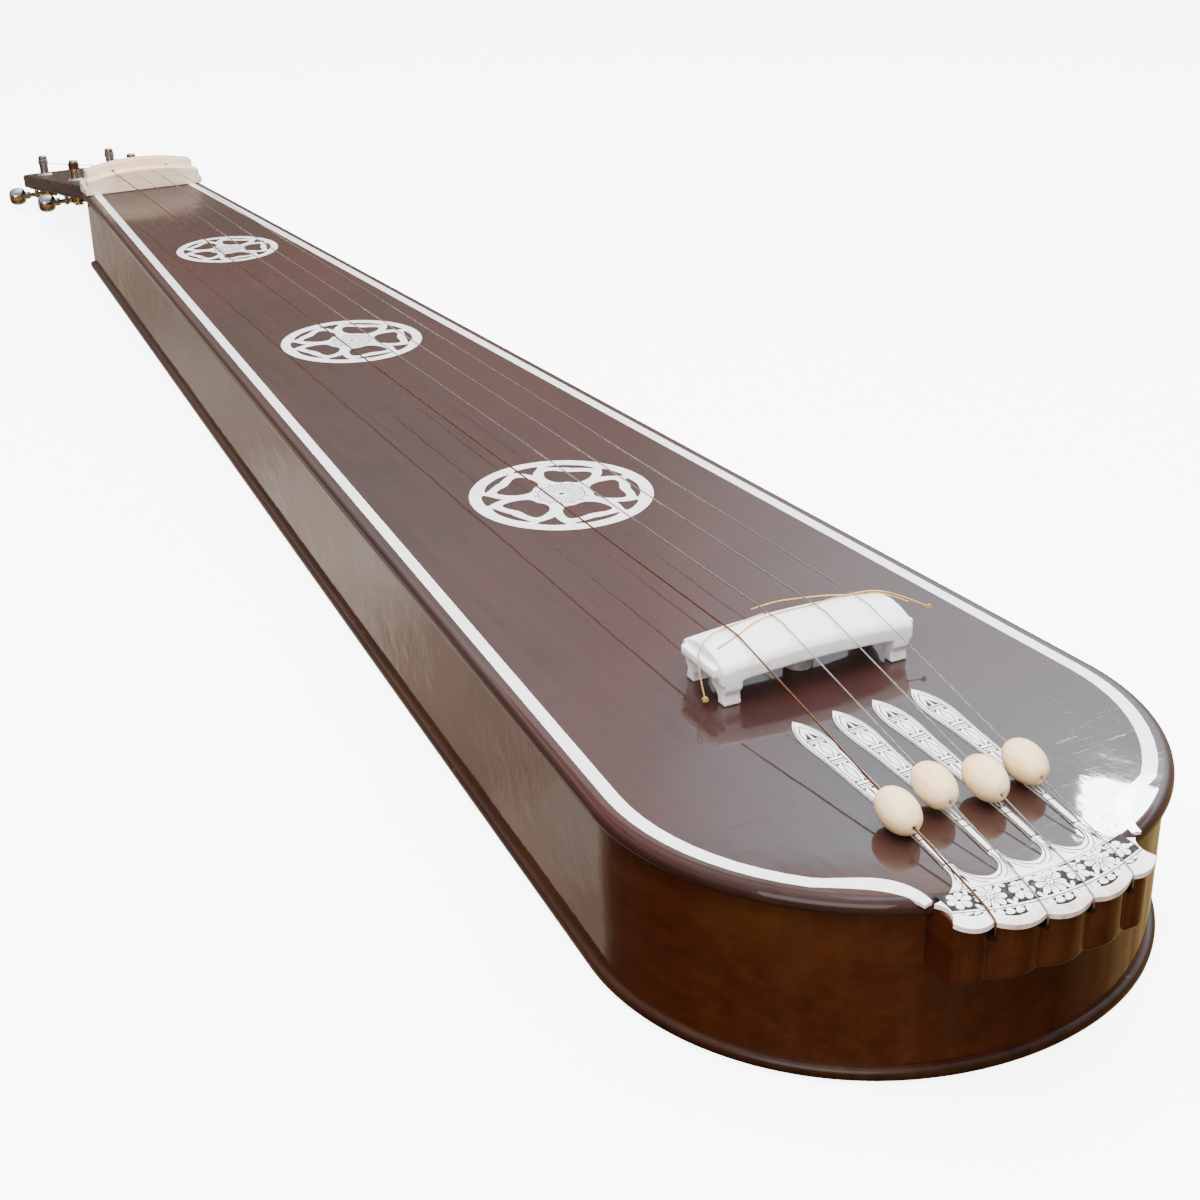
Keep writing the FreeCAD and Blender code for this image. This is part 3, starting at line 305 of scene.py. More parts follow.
def lip_lacquer():
    """The dark back lip: the same lacquer with small chips along its round edge."""
    s = Shader("lip_lacquer", Coat_Weight=0.25, Coat_Roughness=0.22, Specular_IOR_Level=0.3)
    chips = s.span(s.noise(130, 4, (1, 1, 1), 0.7), 0.68, 0.74)
    grain = s.noise(200, 5, (1, 0.03, 1))
    wood = s.ramp(grain, [(0.3, (0.016, 0.005, 0.0025)), (0.75, (0.04, 0.013, 0.005))])
    s.set("Base Color", s.mix(chips, wood, (0.16, 0.085, 0.035)))
    s.set("Roughness", s.span(chips, 0, 1, 0.35, 0.8))
    s.set("Normal", s.bump(s.math("SUBTRACT", s.noise(90, 4), chips), 0.0002, 0.5))
    return s.material


def dark_wood():
    """The headstock: nearly black-brown wood, thinly lacquered and rubbed."""
    s = Shader("dark_wood", Coat_Weight=0.15, Coat_Roughness=0.3, Specular_IOR_Level=0.25)
    grain = s.noise(260, 5, (1, 0.05, 1), 0.6, 0.4)
    rubbed = s.span(s.noise(60, 4), 0.62, 0.8, 0.0, 0.6)
    wood = s.ramp(grain, [(0.3, (0.014, 0.007, 0.004)), (0.75, (0.045, 0.022, 0.012))])
    s.set("Base Color", s.mix(rubbed, wood, (0.09, 0.05, 0.028)))
    s.set("Roughness", s.span(grain, 0.3, 0.7, 0.6, 0.42))
    s.set("Normal", s.bump(grain, 0.00015, 0.5))
    return s.material


def raw_wood(name, dark, light):
    """Unfinished wood with grain along the instrument."""
    s = Shader(name, Specular_IOR_Level=0.25)
    grain = s.noise(320, 6, (1, 0.04, 1), 0.6, 0.5)
    s.set("Base Color", s.ramp(grain, [(0.3, dark), (0.7, light)]))
    s.set("Roughness", s.span(grain, 0.3, 0.7, 0.85, 0.65))
    s.set("Normal", s.bump(grain, 0.0002, 0.5))
    return s.material


def celluloid():
    """White inlay: slightly uneven, a little yellowed, with fine scratches under the polish."""
    s = Shader("celluloid", Coat_Weight=0.6, Coat_Roughness=0.06, Subsurface_Weight=0.05)
    age = s.noise(60, 4)
    white = s.ramp(age, [(0.3, (0.90, 0.89, 0.86)), (0.7, (0.97, 0.965, 0.95))])
    dirt = s.span(s.noise(900, 5, (1, 1, 1), 0.7), 0.66, 0.8, 0.0, 0.5)
    s.set("Base Color", s.mix(dirt, white, (0.45, 0.40, 0.35)))
    s.set("Roughness", s.span(s.noise(260, 3), 0.3, 0.7, 0.22, 0.42))
    s.set("Normal", s.bump(s.noise(220, 4), 0.00006, 0.5))
    return s.material


def worn_celluloid():
    """The tailpiece: the same white, rubbed pinkish along its bent edge."""
    s = Shader("worn_celluloid", Coat_Weight=0.3, Coat_Roughness=0.15)
    white = s.ramp(s.noise(90, 4), [(0.3, (0.90, 0.885, 0.85)), (0.7, (0.97, 0.965, 0.95))])
    edge_start = -(MIDDLE_Y + 7.4) / 1000
    edge_end = -(MIDDLE_Y + 10.6) / 1000
    edge = s.span(s.axis("Y"), edge_start, edge_end)
    rubbed = s.math("MULTIPLY", edge, s.span(s.noise(350, 4), 0.35, 0.6, 0.35, 0.85))
    s.set("Base Color", s.mix(rubbed, white, (0.56, 0.40, 0.33)))
    s.set("Roughness", s.span(s.noise(300, 3), 0.3, 0.7, 0.3, 0.55))
    s.set("Normal", s.bump(s.noise(500, 4), 0.00008, 0.6))
    return s.material


def engraving():
    """Black filler in the engraved lines, worn grey in places."""
    s = Shader("engraving", Specular_IOR_Level=0.3)
    wear = s.span(s.noise(700, 4), 0.55, 0.8)
    s.set("Base Color", s.mix(wear, (0.012, 0.011, 0.011), (0.09, 0.08, 0.075)))
    s.set("Roughness", s.span(wear, 0, 1, 0.45, 0.7))
    s.set("Normal", s.bump(s.noise(900, 3), 0.00004, 0.5))
    return s.material


def bridge_plastic():
    """Pure white plastic filed by hand; light goes a little way in."""
    s = Shader("bridge_plastic", Subsurface_Weight=0.35, Subsurface_Scale=0.004,
               Specular_IOR_Level=0.4)
    s.surface.inputs["Subsurface Radius"].default_value = (1.0, 0.9, 0.85)
    tone = s.noise(80, 3)
    s.set("Base Color", s.ramp(tone, [(0.3, (0.95, 0.95, 0.95)), (0.7, (0.98, 0.98, 0.985))]))
    s.set("Roughness", s.span(s.noise(150, 4), 0.3, 0.7, 0.32, 0.5))
    file_marks = s.noise(500, 3, (0.12, 1, 1), 0.6)
    s.set("Normal", s.bump(file_marks, 0.00006, 0.5, s.bump(s.noise(140, 3), 0.0003, 0.4)))
    return s.material


def bone(name, pale, deep, streak=(1, 0.12, 1)):
    """Polished bone substitute: cream, with drawn-out darker streaks."""
    s = Shader(name, Subsurface_Weight=0.15, Subsurface_Scale=0.002, Coat_Weight=0.35,
               Coat_Roughness=0.12)
    streaks = s.noise(420, 5, streak, 0.6, 0.4)
    cloud = s.noise(110, 3)
    palest = tuple(min(1, part * 1.06) for part in pale)
    tone = s.ramp(streaks, [(0.3, deep), (0.55, pale), (0.8, palest)])
    s.set("Base Color", s.mix(s.span(cloud, 0.5, 0.8, 0.0, 0.5), tone, deep))
    s.set("Roughness", s.span(cloud, 0.3, 0.7, 0.25, 0.42))
    s.set("Normal", s.bump(streaks, 0.00007, 0.5))
    return s.material


def metal(name, colour, rough, dull=0.6):
    """Plated or drawn metal with a fine brushed grain and duller patches."""
    s = Shader(name, Metallic=1.0)
    patch = s.noise(300, 4)
    duller = tuple(part * dull for part in colour)
    s.set("Base Color", s.mix(s.span(patch, 0.45, 0.75), colour, duller))
    s.set("Roughness", s.span(patch, 0.3, 0.75, rough, rough + 0.16))
    s.set("Normal", s.bump(s.noise(1800, 2, (1, 0.2, 1)), 0.00003, 0.4))
    return s.material


def cotton():
    """Golden twisted thread."""
    s = Shader("cotton", Roughness=0.8, Sheen_Weight=0.4)
    fibre = s.noise(2600, 4, (1, 0.5, 1), 0.7)
    s.set("Base Color", s.ramp(fibre, [(0.3, (0.40, 0.18, 0.035)), (0.7, (0.83, 0.50, 0.14))]))
    s.set("Normal", s.bump(fibre, 0.0002, 0.9))
    return s.material


def floor_paper():
    """Seamless white paper; its own glow keeps the background clean."""
    s = Shader("floor_paper", Roughness=0.9, Specular_IOR_Level=0.0)
    s.set("Base Color", s.ramp(s.noise(3, 2), [(0.3, (0.93, 0.93, 0.93)), (0.7, (0.95, 0.95, 0.95))]))
    s.surface.inputs["Emission Color"].default_value = (1, 1, 1, 1)
    s.surface.inputs["Emission Strength"].default_value = 6.0
    return s.material


# ---- mesh helpers ---------------------------------------------------------------------------
def finish_piece(obj, material, body=BODY, stands_for=()):
    """Gives a piece its material and body, and hides the CAD nodes that it stands for."""
    obj.data.materials.append(material)
    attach(obj, body)
    if stands_for:
        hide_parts(*stands_for)
    return obj


def mesh_object(name, points, faces, seat=SEAT, sharp=35):
    """A smooth-shaded mesh with creases where faces meet at more than sharp degrees."""
    mesh = bpy.data.meshes.new(name)
    mesh.from_pydata(points, [], faces)
    mesh.transform(seat)
    mesh.update()
    mesh.shade_smooth()
    mesh.set_sharp_from_angle(angle=math.radians(sharp))
    obj = bpy.data.objects.new(name, mesh)
    bpy.context.scene.collection.objects.link(obj)
    return obj


def skin(name, loops, seat=SEAT, sharp=35, caps=True):
    """A closed solid through equal loops of points, with its first and last loops filled."""
    size = len(loops[0])
    points = [point for loop in loops for point in loop]
    faces = []
    for row in range(len(loops) - 1):
        for column in range(size):
            a = row * size + column
            b = row * size + (column + 1) % size
            faces.append((a, b, b + size, a + size))
    if caps:
        faces.append(tuple(reversed(range(size))))
        faces.append(tuple(range(len(points) - size, len(points))))
    return mesh_object(name, points, faces, seat, sharp)


def curve_object(name, points, radius, nurbs=False):
    """A round wire through points given in the face frame."""
    data = bpy.data.curves.new(name, "CURVE")
    data.dimensions = "3D"
    data.bevel_depth = radius / 1000
    data.bevel_resolution = 3
    data.use_fill_caps = True
    spline = data.splines.new("NURBS" if nurbs else "POLY")
    spline.points.add(len(points) - 1)
    for target, point in zip(spline.points, points):
        target.co = (*(SEAT @ Vector(point)), 1.0)
    if nurbs:
        spline.order_u = 3
        spline.use_endpoint_u = True
        spline.resolution_u = 12
    obj = bpy.data.objects.new(name, data)
    bpy.context.scene.collection.objects.link(obj)
    return obj


# ---- outline of the box ---------------------------------------------------------------------
def side_x(grow, y):
    """Half the width of the straight part of the outline at a place along it."""
    return CORNER_X + (CORNER_RADIUS + grow - (y - CORNER_Y) * math.sin(TAPER)) / math.cos(TAPER)


def half_outline(grow):
    """Right half of the outline, from the head to the middle of the tail."""
    radius = CORNER_RADIUS + grow
    tangent_y = CORNER_Y + radius * math.sin(TAPER)
    points = []
    for step in range(24):
        y = BODY_LENGTH + (tangent_y - BODY_LENGTH) * step / 24
        points.append((side_x(grow, y), y))
    for step in range(40):
        angle = TAPER + (CORNER_END - TAPER) * step / 40
        points.append((CORNER_X + radius * math.cos(angle), CORNER_Y + radius * math.sin(angle)))
    for step in range(13):
        angle = CORNER_END + (-math.pi / 2 - CORNER_END) * step / 12
        reach = END_RADIUS + grow
        points.append((reach * math.cos(angle), END_RADIUS + reach * math.sin(angle)))
    return points


def outline(grow):
    """The whole outline, from the head round the tail and back."""
    right = half_outline(grow)
    left = [(-x, y) for x, y in reversed(right[:-1])]
    return right + left


def quarter(start, middle, steps=8):
    """Points of a quarter circle in (grow, z), from pointing up to pointing out."""
    radius = start[1] - middle[1]
    points = []
    for step in range(steps + 1):
        turn = math.radians(90 - 90 * step / steps)
        points.append((middle[0] + radius * math.cos(turn), middle[1] + radius * math.sin(turn)))
    return points


# ---- soundbox -------------------------------------------------------------------------------
def soundboard(material):
    """The top with its rounded rim; each row of the profile is (grow of the outline, z)."""
    edge = RIM_GROW - TOP_ROUND
    rows = [(-12.0, -TOP_SINK), (edge - 1.2, -TOP_SINK), (edge - 0.5, -TOP_SINK)]
    rows += quarter((edge, -TOP_SINK), (edge, -TOP_ROUND))
    rows += [(RIM_GROW, -3.6), (RIM_GROW - 0.25, -4.15), (RIM_GROW - 0.9, -TOP_THICKNESS),
             (-6, -TOP_THICKNESS)]
    loops = [[(x, y, z) for x, y in outline(grow)] for grow, z in rows]
    piece = skin("soundboard", loops[::-1], sharp=60)
    return finish_piece(piece, material, BODY, ["top_plate"])


def back_board(material):
    """The back with its rounded lip; each row of the profile is (grow of the outline, height)."""
    top = BACK_THICKNESS
    flat = LIP_GROW - LIP_ROUND
    rows = [(-12.0, 0), (flat - 0.6, 0), (flat, 0)]
    for degrees in range(15, 91, 15):
        turn = math.radians(degrees)
        rows.append((flat + LIP_ROUND * math.sin(turn), LIP_ROUND - LIP_ROUND * math.cos(turn)))
    for degrees in range(0, 91, 15):
        turn = math.radians(degrees)
        rows.append((flat + LIP_ROUND * math.cos(turn), top - LIP_ROUND + LIP_ROUND * math.sin(turn)))
    rows += [(flat - 0.6, top), (-8.0, top)]
    loops = [[(x, y, z) for x, y in outline(grow)] for grow, z in rows]
    piece = skin("back_board", loops, LEVEL, sharp=60)
    return finish_piece(piece, material, BODY, ["back_plate"])


def wall(name, side, material):
    """One side wall, bent in one piece from the head to the middle of the tail."""
    loops = []
    outer = half_outline(WALL_GROW)
    inner = half_outline(WALL_GROW - RIB_THICKNESS)
    for (x, y), (x_in, y_in) in zip(outer, inner):
        top = -TOP_THICKNESS
        low = -(TAIL_DEPTH - (TAIL_DEPTH - HEAD_DEPTH) * y / BODY_LENGTH) + BACK_THICKNESS
        heights = [top + (low - top) * step / 6 for step in range(7)]
        loop = [(side * x, y, z) for z in heights]
        loop += [(side * x_in, y_in, low), (side * x_in, y_in, top)]
        loops.append(loop if side > 0 else loop[::-1])
    piece = skin(name + "_wall", loops, sharp=50)
    return finish_piece(piece, material, BODY, [name])


# ---- engraving ------------------------------------------------------------------------------
def flat_height(x, y):
    """The playing face."""
    return 0.0


def plate_top(x, y):
    """The tailpiece, which bends down over the tail past its crest."""
    past = max(0.0, CREST_Y - y)
    return PLATE_PROUD - PLATE_BEND * past - PLATE_CURL * past ** 2


def finger_top(x, y):
    return PLATE_PROUD


def overlay(name, polygons, material, height=flat_height, lift=INK_LIFT):
    """Thin flat shapes laid on a surface."""
    points = []
    faces = []
    for polygon in polygons:
        if signed_area(polygon) < 0:
            polygon = polygon[::-1]
        faces.append(tuple(range(len(points), len(points) + len(polygon))))
        points += [(x, y, height(x, y) + lift) for x, y in polygon]
    return finish_piece(mesh_object(name, points, faces), material)


def signed_area(polygon):
    """Positive for a polygon that turns to the left, so that its face looks up."""
    turned = polygon[1:] + polygon[:1]
    return sum(a[0] * b[1] - b[0] * a[1] for a, b in zip(polygon, turned)) / 2


def stroke(points, width, closed=False):
    """A line of even width as a row of four-cornered shapes that overlap a little."""
    overlap = 0.2
    pairs = list(zip(points, points[1:]))
    if closed:
        pairs.append((points[-1], points[0]))
    shapes = []
    for (x0, y0), (x1, y1) in pairs:
        length = math.hypot(x1 - x0, y1 - y0)
        if length < 1e-6:
            continue
        nx = -(y1 - y0) / length * width / 2
        ny = (x1 - x0) / length * width / 2
        ex = (x1 - x0) / length * width * overlap
        ey = (y1 - y0) / length * width * overlap
        shapes.append([(x0 - nx - ex, y0 - ny - ey), (x1 - nx + ex, y1 - ny + ey),
                       (x1 + nx + ex, y1 + ny + ey), (x0 + nx - ex, y0 + ny - ey)])
    return shapes


def circle(x, y, radius, steps):
    turns = [2 * math.pi * step / steps for step in range(steps)]
    return [(x + radius * math.cos(turn), y + radius * math.sin(turn)) for turn in turns]


def rosette_engraving(name, black):
    """Boss of a rosette: a beaded ring, fine rays and a centre dot."""
    x, y, radius = ROSETTES[name]
    rays = 28
    dots = 14
    lines = stroke(circle(x, y, radius * 0.255, 40), 0.45, True)
    for ray in range(rays):
        turn = 2 * math.pi * ray / rays
        near = 0.12 if ray % 2 else 0.08
        lines += stroke([(x + radius * share * math.cos(turn), y + radius * share * math.sin(turn))
                         for share in (near, 0.235)], 0.3)
    for dot in range(dots):
        turn = 2 * math.pi * (dot + 0.5) / dots
        reach = radius * 0.288
        lines.append(circle(x + reach * math.cos(turn), y + reach * math.sin(turn),
                            radius * 0.014, 10))
    lines.append(circle(x, y, radius * 0.03, 16))
    return overlay("rosette_lines_" + name, lines, black)


def half_at(y):
    """Half width of a finger at a place along it."""
    for (low_half, low), (high_half, high) in zip(FINGER_HALVES, FINGER_HALVES[1:]):
        if low <= y <= high:
            return low_half + (high_half - low_half) * (y - low) / (high - low)
    return FINGER_HALVES[0][0]


def finger_place(index, y, across):
    """A point of a finger; across is a share of its half width."""
    share = max(0.0, (y - NECK_Y) / (FINGER_TIP_Y - NECK_Y))
    foot = NECK_SHIFT + (index - 1.5) * NECK_PITCH
    return (foot + FINGER_LEAN * math.sin(math.pi / 2 * share) + across * half_at(y), y)


def tie_bar(low, high, half):
    """A bar across a finger, as (y, share of the half width)."""
    return [(low, -half), (low, half), (high, half), (high, -half)]


def finger_engraving(index, black):
    """Double outline, arrow head, tie bars and slender lozenges."""
    def along(pairs):
        return [finger_place(index, y, across) for y, across in pairs]

    lines = []
    rows = [16 + 4 * step for step in range(19)]
    for side in (-1, 1):
        edge = [(y, side * 0.93) for y in rows] + [(94, side * 0.92), (97.5, side * 0.8)]
        lines += stroke(along(edge), 0.3)
        inside = [(y, side * 0.66) for y in rows] + [(93, side * 0.62), (97, 0.0)]
        lines += stroke(along(inside), 0.34)
        lines.append(along([(88.8, side * 0.56), (88.8, side * 0.1), (93.4, side * 0.08),
                            (90.2, side * 0.4)]))
    for y in (88.0, 75.5, 60.5):
        lines.append(along(tie_bar(y - 0.25, y + 0.35, 0.66)))
        lines.append(along(tie_bar(y - 1.3, y - 0.9, 0.66)))
    for y in (29.0, 16.5):
        lines.append(along(tie_bar(y, y + 0.5, 0.9)))
    for low, high in ((62.0, 73.4), (77.0, 86.2), (32.0, 58.6)):
        middle = (low + high) / 2
        for side in (-1, 1):
            lines += stroke(along([(low, 0), (middle, side * 0.36), (high, 0)]), 0.3)
            for end, inward in ((low, 1.6), (high, -1.6)):
                lines.append(along([(end, side * 0.62), (end, side * 0.2), (end + inward, side * 0.5)]))
    return overlay("finger_lines_%d" % (index + 1), lines, black, finger_top)


def tail_line(x, offset):
    """A line parallel to the curved tail end."""
    return offset + (x - PLATE_SHIFT) ** 2 / (2 * END_RADIUS)


def tail_strip(start, end, low, high, steps=40):
    """A strip of the plate between two lines parallel to its edge, as short pieces."""
    shapes = []
    for step in range(steps):
        x0 = start + (end - start) * step / steps
        x1 = start + (end - start) * (step + 1) / steps
        shapes.append([(x0, tail_line(x0, low)), (x1, tail_line(x1, low)),
                       (x1, tail_line(x1, high)), (x0, tail_line(x0, high))])
    return shapes


def petal(x, y, near, far, half, turn):
    """A rounded petal that points away from a flower's middle."""
    points = []
    for share, across in ((0.0, 0.2), (0.3, 0.62), (0.6, 1.0), (0.82, 0.9), (0.95, 0.5), (1.0, 0.0)):
        points.append((near + share * (far - near), across * half))
    points += [(along, -across) for along, across in reversed(points[:-1])]
    cos, sin = math.cos(turn), math.sin(turn)
    return [(x + a * cos - b * sin, y + a * sin + b * cos) for a, b in points]


def daisy(x, y, lean):
    """Nine long petals with a vein each, round a ringed eye."""
    petals = [circle(x, y, 1.15, 20)]
    marks = stroke(circle(x, y, 1.12, 20), 0.24, True) + [circle(x, y, 0.3, 10)]
    for ray in range(9):
        turn = lean + 2 * math.pi * ray / 9
        petals.append(petal(x, y, 1.1, 4.5, 0.98, turn))
        vein = [(x + reach * math.cos(turn), y + reach * math.sin(turn)) for reach in (1.7, 3.0)]
        marks += stroke(vein, 0.15)
    return petals, marks


def blossom(x, y, lean):
    """Six round petals that meet at a dark point."""
    petals = []
    for ray in range(6):
        petals.append(petal(x, y, 0.5, 3.5, 1.13, lean + 2 * math.pi * ray / 6))
    return petals, [circle(x, y, 0.42, 12)]


def plate_flowers():
    """White flowers, the fine black marks on them, and leaves that fill the gaps between them."""
    petals = []
    marks = []
    for number, x in enumerate(FLOWER_X):
        flower = daisy if number % 2 else blossom
        more_petals, more_marks = flower(x, tail_line(x, -2.0), 0.35 * number)
        petals += more_petals
        marks += more_marks
    for x0, x1 in zip(FLOWER_X, FLOWER_X[1:]):
        x = (x0 + x1) / 2
        for base, tip in ((2.2, 0.3), (-6.2, -4.2)):
            for lean in (-0.5, 0.5):
                turn = math.atan2(tip - base, lean * 2.4)
                petals.append(petal(x, tail_line(x, base), 0.0, abs(tip - base) + 0.5, 0.6, turn))
    return petals, marks


def lobe_leaves(left, right):
    """The black lens inside each lobe, and the row of white leaves that hangs into it."""
    stops = [left + 1.0] + [notch_x(index) for index in range(STRINGS)] + [right - 1.0]
    line = -7.0
    whole_lobe = 12.0
    lenses = []
    leaves = []
    for start, end in zip(stops, stops[1:]):
        width = end - start
        depth = 2.5 if width > whole_lobe else 1.1
        upper = [(start + width * share, line) for share in (0.12, 0.3, 0.5, 0.7, 0.88)]
        lower = [(start + width * share, line - depth * math.sin(math.pi * share)) for share in
                 (0.88, 0.76, 0.64, 0.5, 0.36, 0.24, 0.12)]
        lenses.append([(x, tail_line(x, y)) for x, y in upper + lower])
        count = 4 if width > whole_lobe else 2
        for step in range(count):
            x = start + (0.16 + 0.68 * (step + 0.5) / count) * width
            leaves.append(petal(x, tail_line(x, -6.7), 0.0, 0.82 * depth, 0.36 * width / count,
                                -math.pi / 2 + 0.25 * (step - (count - 1) / 2)))
    return lenses, leaves


def neck_marks(index):
    """Double lines that run from a finger's neck round the bowls beside it."""
    marks = []
    neck = NECK_SHIFT + (index - 1.5) * NECK_PITCH
    for side in (-1, 1):
        outer = (index == 0 and side < 0) or (index == 3 and side > 0)
        flank = [(neck + side * 0.8, NECK_Y), (neck + side * 0.95, 12.6), (neck + side * 2.1, 9.4)]
        if not outer:
            flank += [(neck + side * 3.9, 6.9), (neck + side * 5.6, 5.8),
                      (neck + side * NECK_PITCH / 2, 5.3)]
        marks += stroke(flank, 0.3)
        inner = ((0.3, 12.5), (0.9, 9.0), (2.6, 6.0), (4.6, 4.7))
        marks += stroke([(neck + side * across, y) for across, y in inner], 0.24)
    marks.append([(neck - 0.5, 9.6), (neck, 6.0), (neck + 0.5, 9.6), (neck, 11.2)])
    return marks


def plate_engraving(black, white):
    """Flowers on a black ground, a double line and a row of leaves along the lobes."""
    margin = 2.2
    left = PLATE_SHIFT - PLATE_HALF_WIDTH + margin
    right = PLATE_SHIFT + PLATE_HALF_WIDTH - margin
    ground = tail_strip(left, right, 2.35, 2.6)
    for low, high in ((-5.9, -4.0), (-4.0, -2.0), (-2.0, 0.0), (0.0, 1.9)):
        ground += tail_strip(left, right, low, high)
    ground += tail_strip(left - 0.6, right + 0.6, -6.75, -6.45)
    lenses, leaves = lobe_leaves(left, right)
    petals, marks = plate_flowers()
    for index in range(STRINGS):
        marks += neck_marks(index)
    overlay("plate_ground", ground + lenses, black, plate_top)
    overlay("plate_flowers", petals + leaves, white, plate_top, 2 * INK_LIFT)
    overlay("plate_marks", marks, black, plate_top, 3 * INK_LIFT)


# ---- strings --------------------------------------------------------------------------------
def notch_x(index):
    return PLATE_SHIFT + (index - 1.5) * NOTCH_PITCH


def bridge_x(index):
    return BRIDGE_SHIFT + (index - 1.5) * BRIDGE_PITCH


def along_string(index, y):
    """The x of a string on its straight run from notch to bridge."""
    start = notch_x(index)
    return start + (y - NOTCH_Y) / (BRIDGE_Y - NOTCH_Y) * (bridge_x(index) - start)


def over_tail(index, y):
    return Vector((along_string(index, y), y, plate_top(0, y) + STRING_CLEAR + STRING_RADIUS[index]))


def bridge_top(x, y):
    """The bridge's upper face, which falls away on all sides."""
    across = (x - BRIDGE_SHIFT) / (BRIDGE_LENGTH / 2)
    along = (y - BRIDGE_Y) / (BRIDGE_DEPTH / 2)
    return BRIDGE_HEIGHT - BRIDGE_END_DROP * across ** 2 - BRIDGE_EDGE_DROP * along ** 2


def bridge_point(index, touch, lift=0.7):
    x = bridge_x(index)
    return Vector((x, BRIDGE_Y + touch, bridge_top(x, BRIDGE_Y + touch) + lift + STRING_RADIUS[index]))


def post_place(index):
    """A post's distance from the nut, its side of the headstock, and its x."""
    near, far = POST_ROWS
    row, side = [(near, -1), (far, -1), (far, 1), (near, 1)][index]
    return row[0], side, side * row[1]


def post_coil(index, turns=6):
    """The string's turns round its post, from the incoming run upwards."""
    along, side, x = post_place(index)
    reach = POST_RADIUS + STRING_RADIUS[index] + 0.02
    pitch = 2.05 * STRING_RADIUS[index]
    steps = 24
    foot = POST_HEIGHT - 6.0
    points = []
    for step in range(turns * steps):
        turn = math.radians(180 if side > 0 else 0) - side * 2 * math.pi * step / steps
        place = Vector((x + reach * math.cos(turn), along + reach * math.sin(turn),
                        foot + pitch * step / steps))
        points.append(HEAD_SEAT @ place)
    return points


def string(index, material):
    """One string: up from its pin, over tail and bridge, through the nut and round its post."""
    x = notch_x(index)
    pin_y = tail_line(x, NOTCH_Y) - PIN_SETBACK
    rim_y = pin_y + 0.7
    nut_x = (index - 1.5) * NUT_PITCH
    route = [Vector((x, pin_y, STRING_FOOT_Z)), Vector((x, pin_y + 0.05, plate_top(0, pin_y) - 0.4)),
             Vector((along_string(index, rim_y), rim_y, plate_top(0, rim_y) + 0.5)),
             over_tail(index, -3.5), over_tail(index, CREST_Y)]
    route += [bridge_point(index, -3.0, 0.62), bridge_point(index, -1.0, 0.5),
              bridge_point(index, 1.0, 0.5)]
    route += [Vector((nut_x, NUT_FRONT_Y, NUT_STRING_Z)),
              Vector((nut_x, BODY_LENGTH + 0.5, NUT_STRING_Z))]
    wire = curve_object("string_%d_wire" % (index + 1), route + post_coil(index), STRING_RADIUS[index])
    return finish_piece(wire, material, BODY, ["string_%d" % (index + 1)])


# ---- beads ----------------------------------------------------------------------------------
def bead(index, material):
    """A turned egg with a small countersunk pit where the string enters."""
    start = over_tail(index, CREST_Y)
    end = bridge_point(index, -3.0)
    centre = start + (end - start) * ((BEAD_Y[index] - start.y) / (end.y - start.y))
    bore = STRING_RADIUS[index] + 0.1
    pit = [(bore, 6.6), (bore + 0.05, 7.6), (bore + 0.45, 8.12)]
    profile = [(radius, -y) for radius, y in pit]
    steps = 26
    for step in range(steps + 1):
        turn = math.radians(-80 + 160 * step / steps)
        radius = BEAD_RADIUS * math.cos(turn) ** 0.93
        profile.append((radius, BEAD_HALF_LENGTH * math.sin(turn) * 0.995))
    profile += reversed(pit)
    lean = (end - start).to_track_quat("Y", "Z").to_matrix().to_4x4()
    seat = Matrix.Translation(centre) @ lean
    wobble = 0.02 * (index - 1.5)
    sides = 48
    loops = []
    for radius, y in profile:
        loop = []
        for step in range(sides):
            turn = 2 * math.pi * step / sides
            reach = radius * (1 + wobble * math.cos(2 * turn) * (0.1 + 0.02 * y))
            loop.append(seat @ Vector((reach * math.cos(turn), y, -reach * math.sin(turn))))
        loops.append(loop)
    name = "bead_%d" % (index + 1)
    piece = skin(name + "_egg", loops, sharp=50, caps=False)
    return finish_piece(piece, material, "tuning_" + name, [name])


# ---- jiva threads ---------------------------------------------------------------------------
def off_bridge(x, y, z):
    """A point given from the bridge's middle."""
    return Vector((BRIDGE_SHIFT + x, BRIDGE_Y + y, z))


def on_bridge(x, y, lift=JIVA_LIFT):
    """A thread's middle where it lies on, or just above, the bridge's upper face."""
    point = off_bridge(x, y, 0)
    point.z = bridge_top(point.x, point.y) + JIVA_RADIUS + lift
    return point


def jiva_routes():
    """The part's routes: (name, points, real length in metres, far end)."""
    left = [
        off_bridge(-37.8, -7.6, 2.0), off_bridge(-38.2, -5.0, 8.5), off_bridge(-37.4, -2.0, 16.2),
        on_bridge(-31.6, 1.5, 1.3), on_bridge(-24.0, 5.0, 0.3), on_bridge(-15.5, 6.8, 0.3),
        on_bridge(-7.4, 9.2, 0.3),
    ]
    long = [
        on_bridge(-32.0, -4.6), on_bridge(-24.0, -2.4), on_bridge(-14.5, 3.0, 0.3),
        on_bridge(-5.0, 5.2, 0.3), on_bridge(6.0, 4.4, 0.3), on_bridge(16.0, 7.2, 0.3),
        on_bridge(25.0, 9.6, 0.5), on_bridge(33.0, 6.4, 1.2), off_bridge(39.6, 1.0, 15.6),
        off_bridge(45.4, -5.4, 13.0),
    ]
    right = [
        on_bridge(-8.0, 15.4, 2.6), on_bridge(0.0, 15.4, 3.4), on_bridge(9.0, 12.6, 2.2),
        on_bridge(17.5, 8.2, 1.5), on_bridge(25.0, 5.0, 0.5), on_bridge(33.0, 2.8, 1.3),
        off_bridge(39.5, -2.6, 15.0),
    ]
    return [("jiva_left", left, 0.0472), ("jiva_long", long, 0.0856), ("jiva_right", right, 0.0522)]


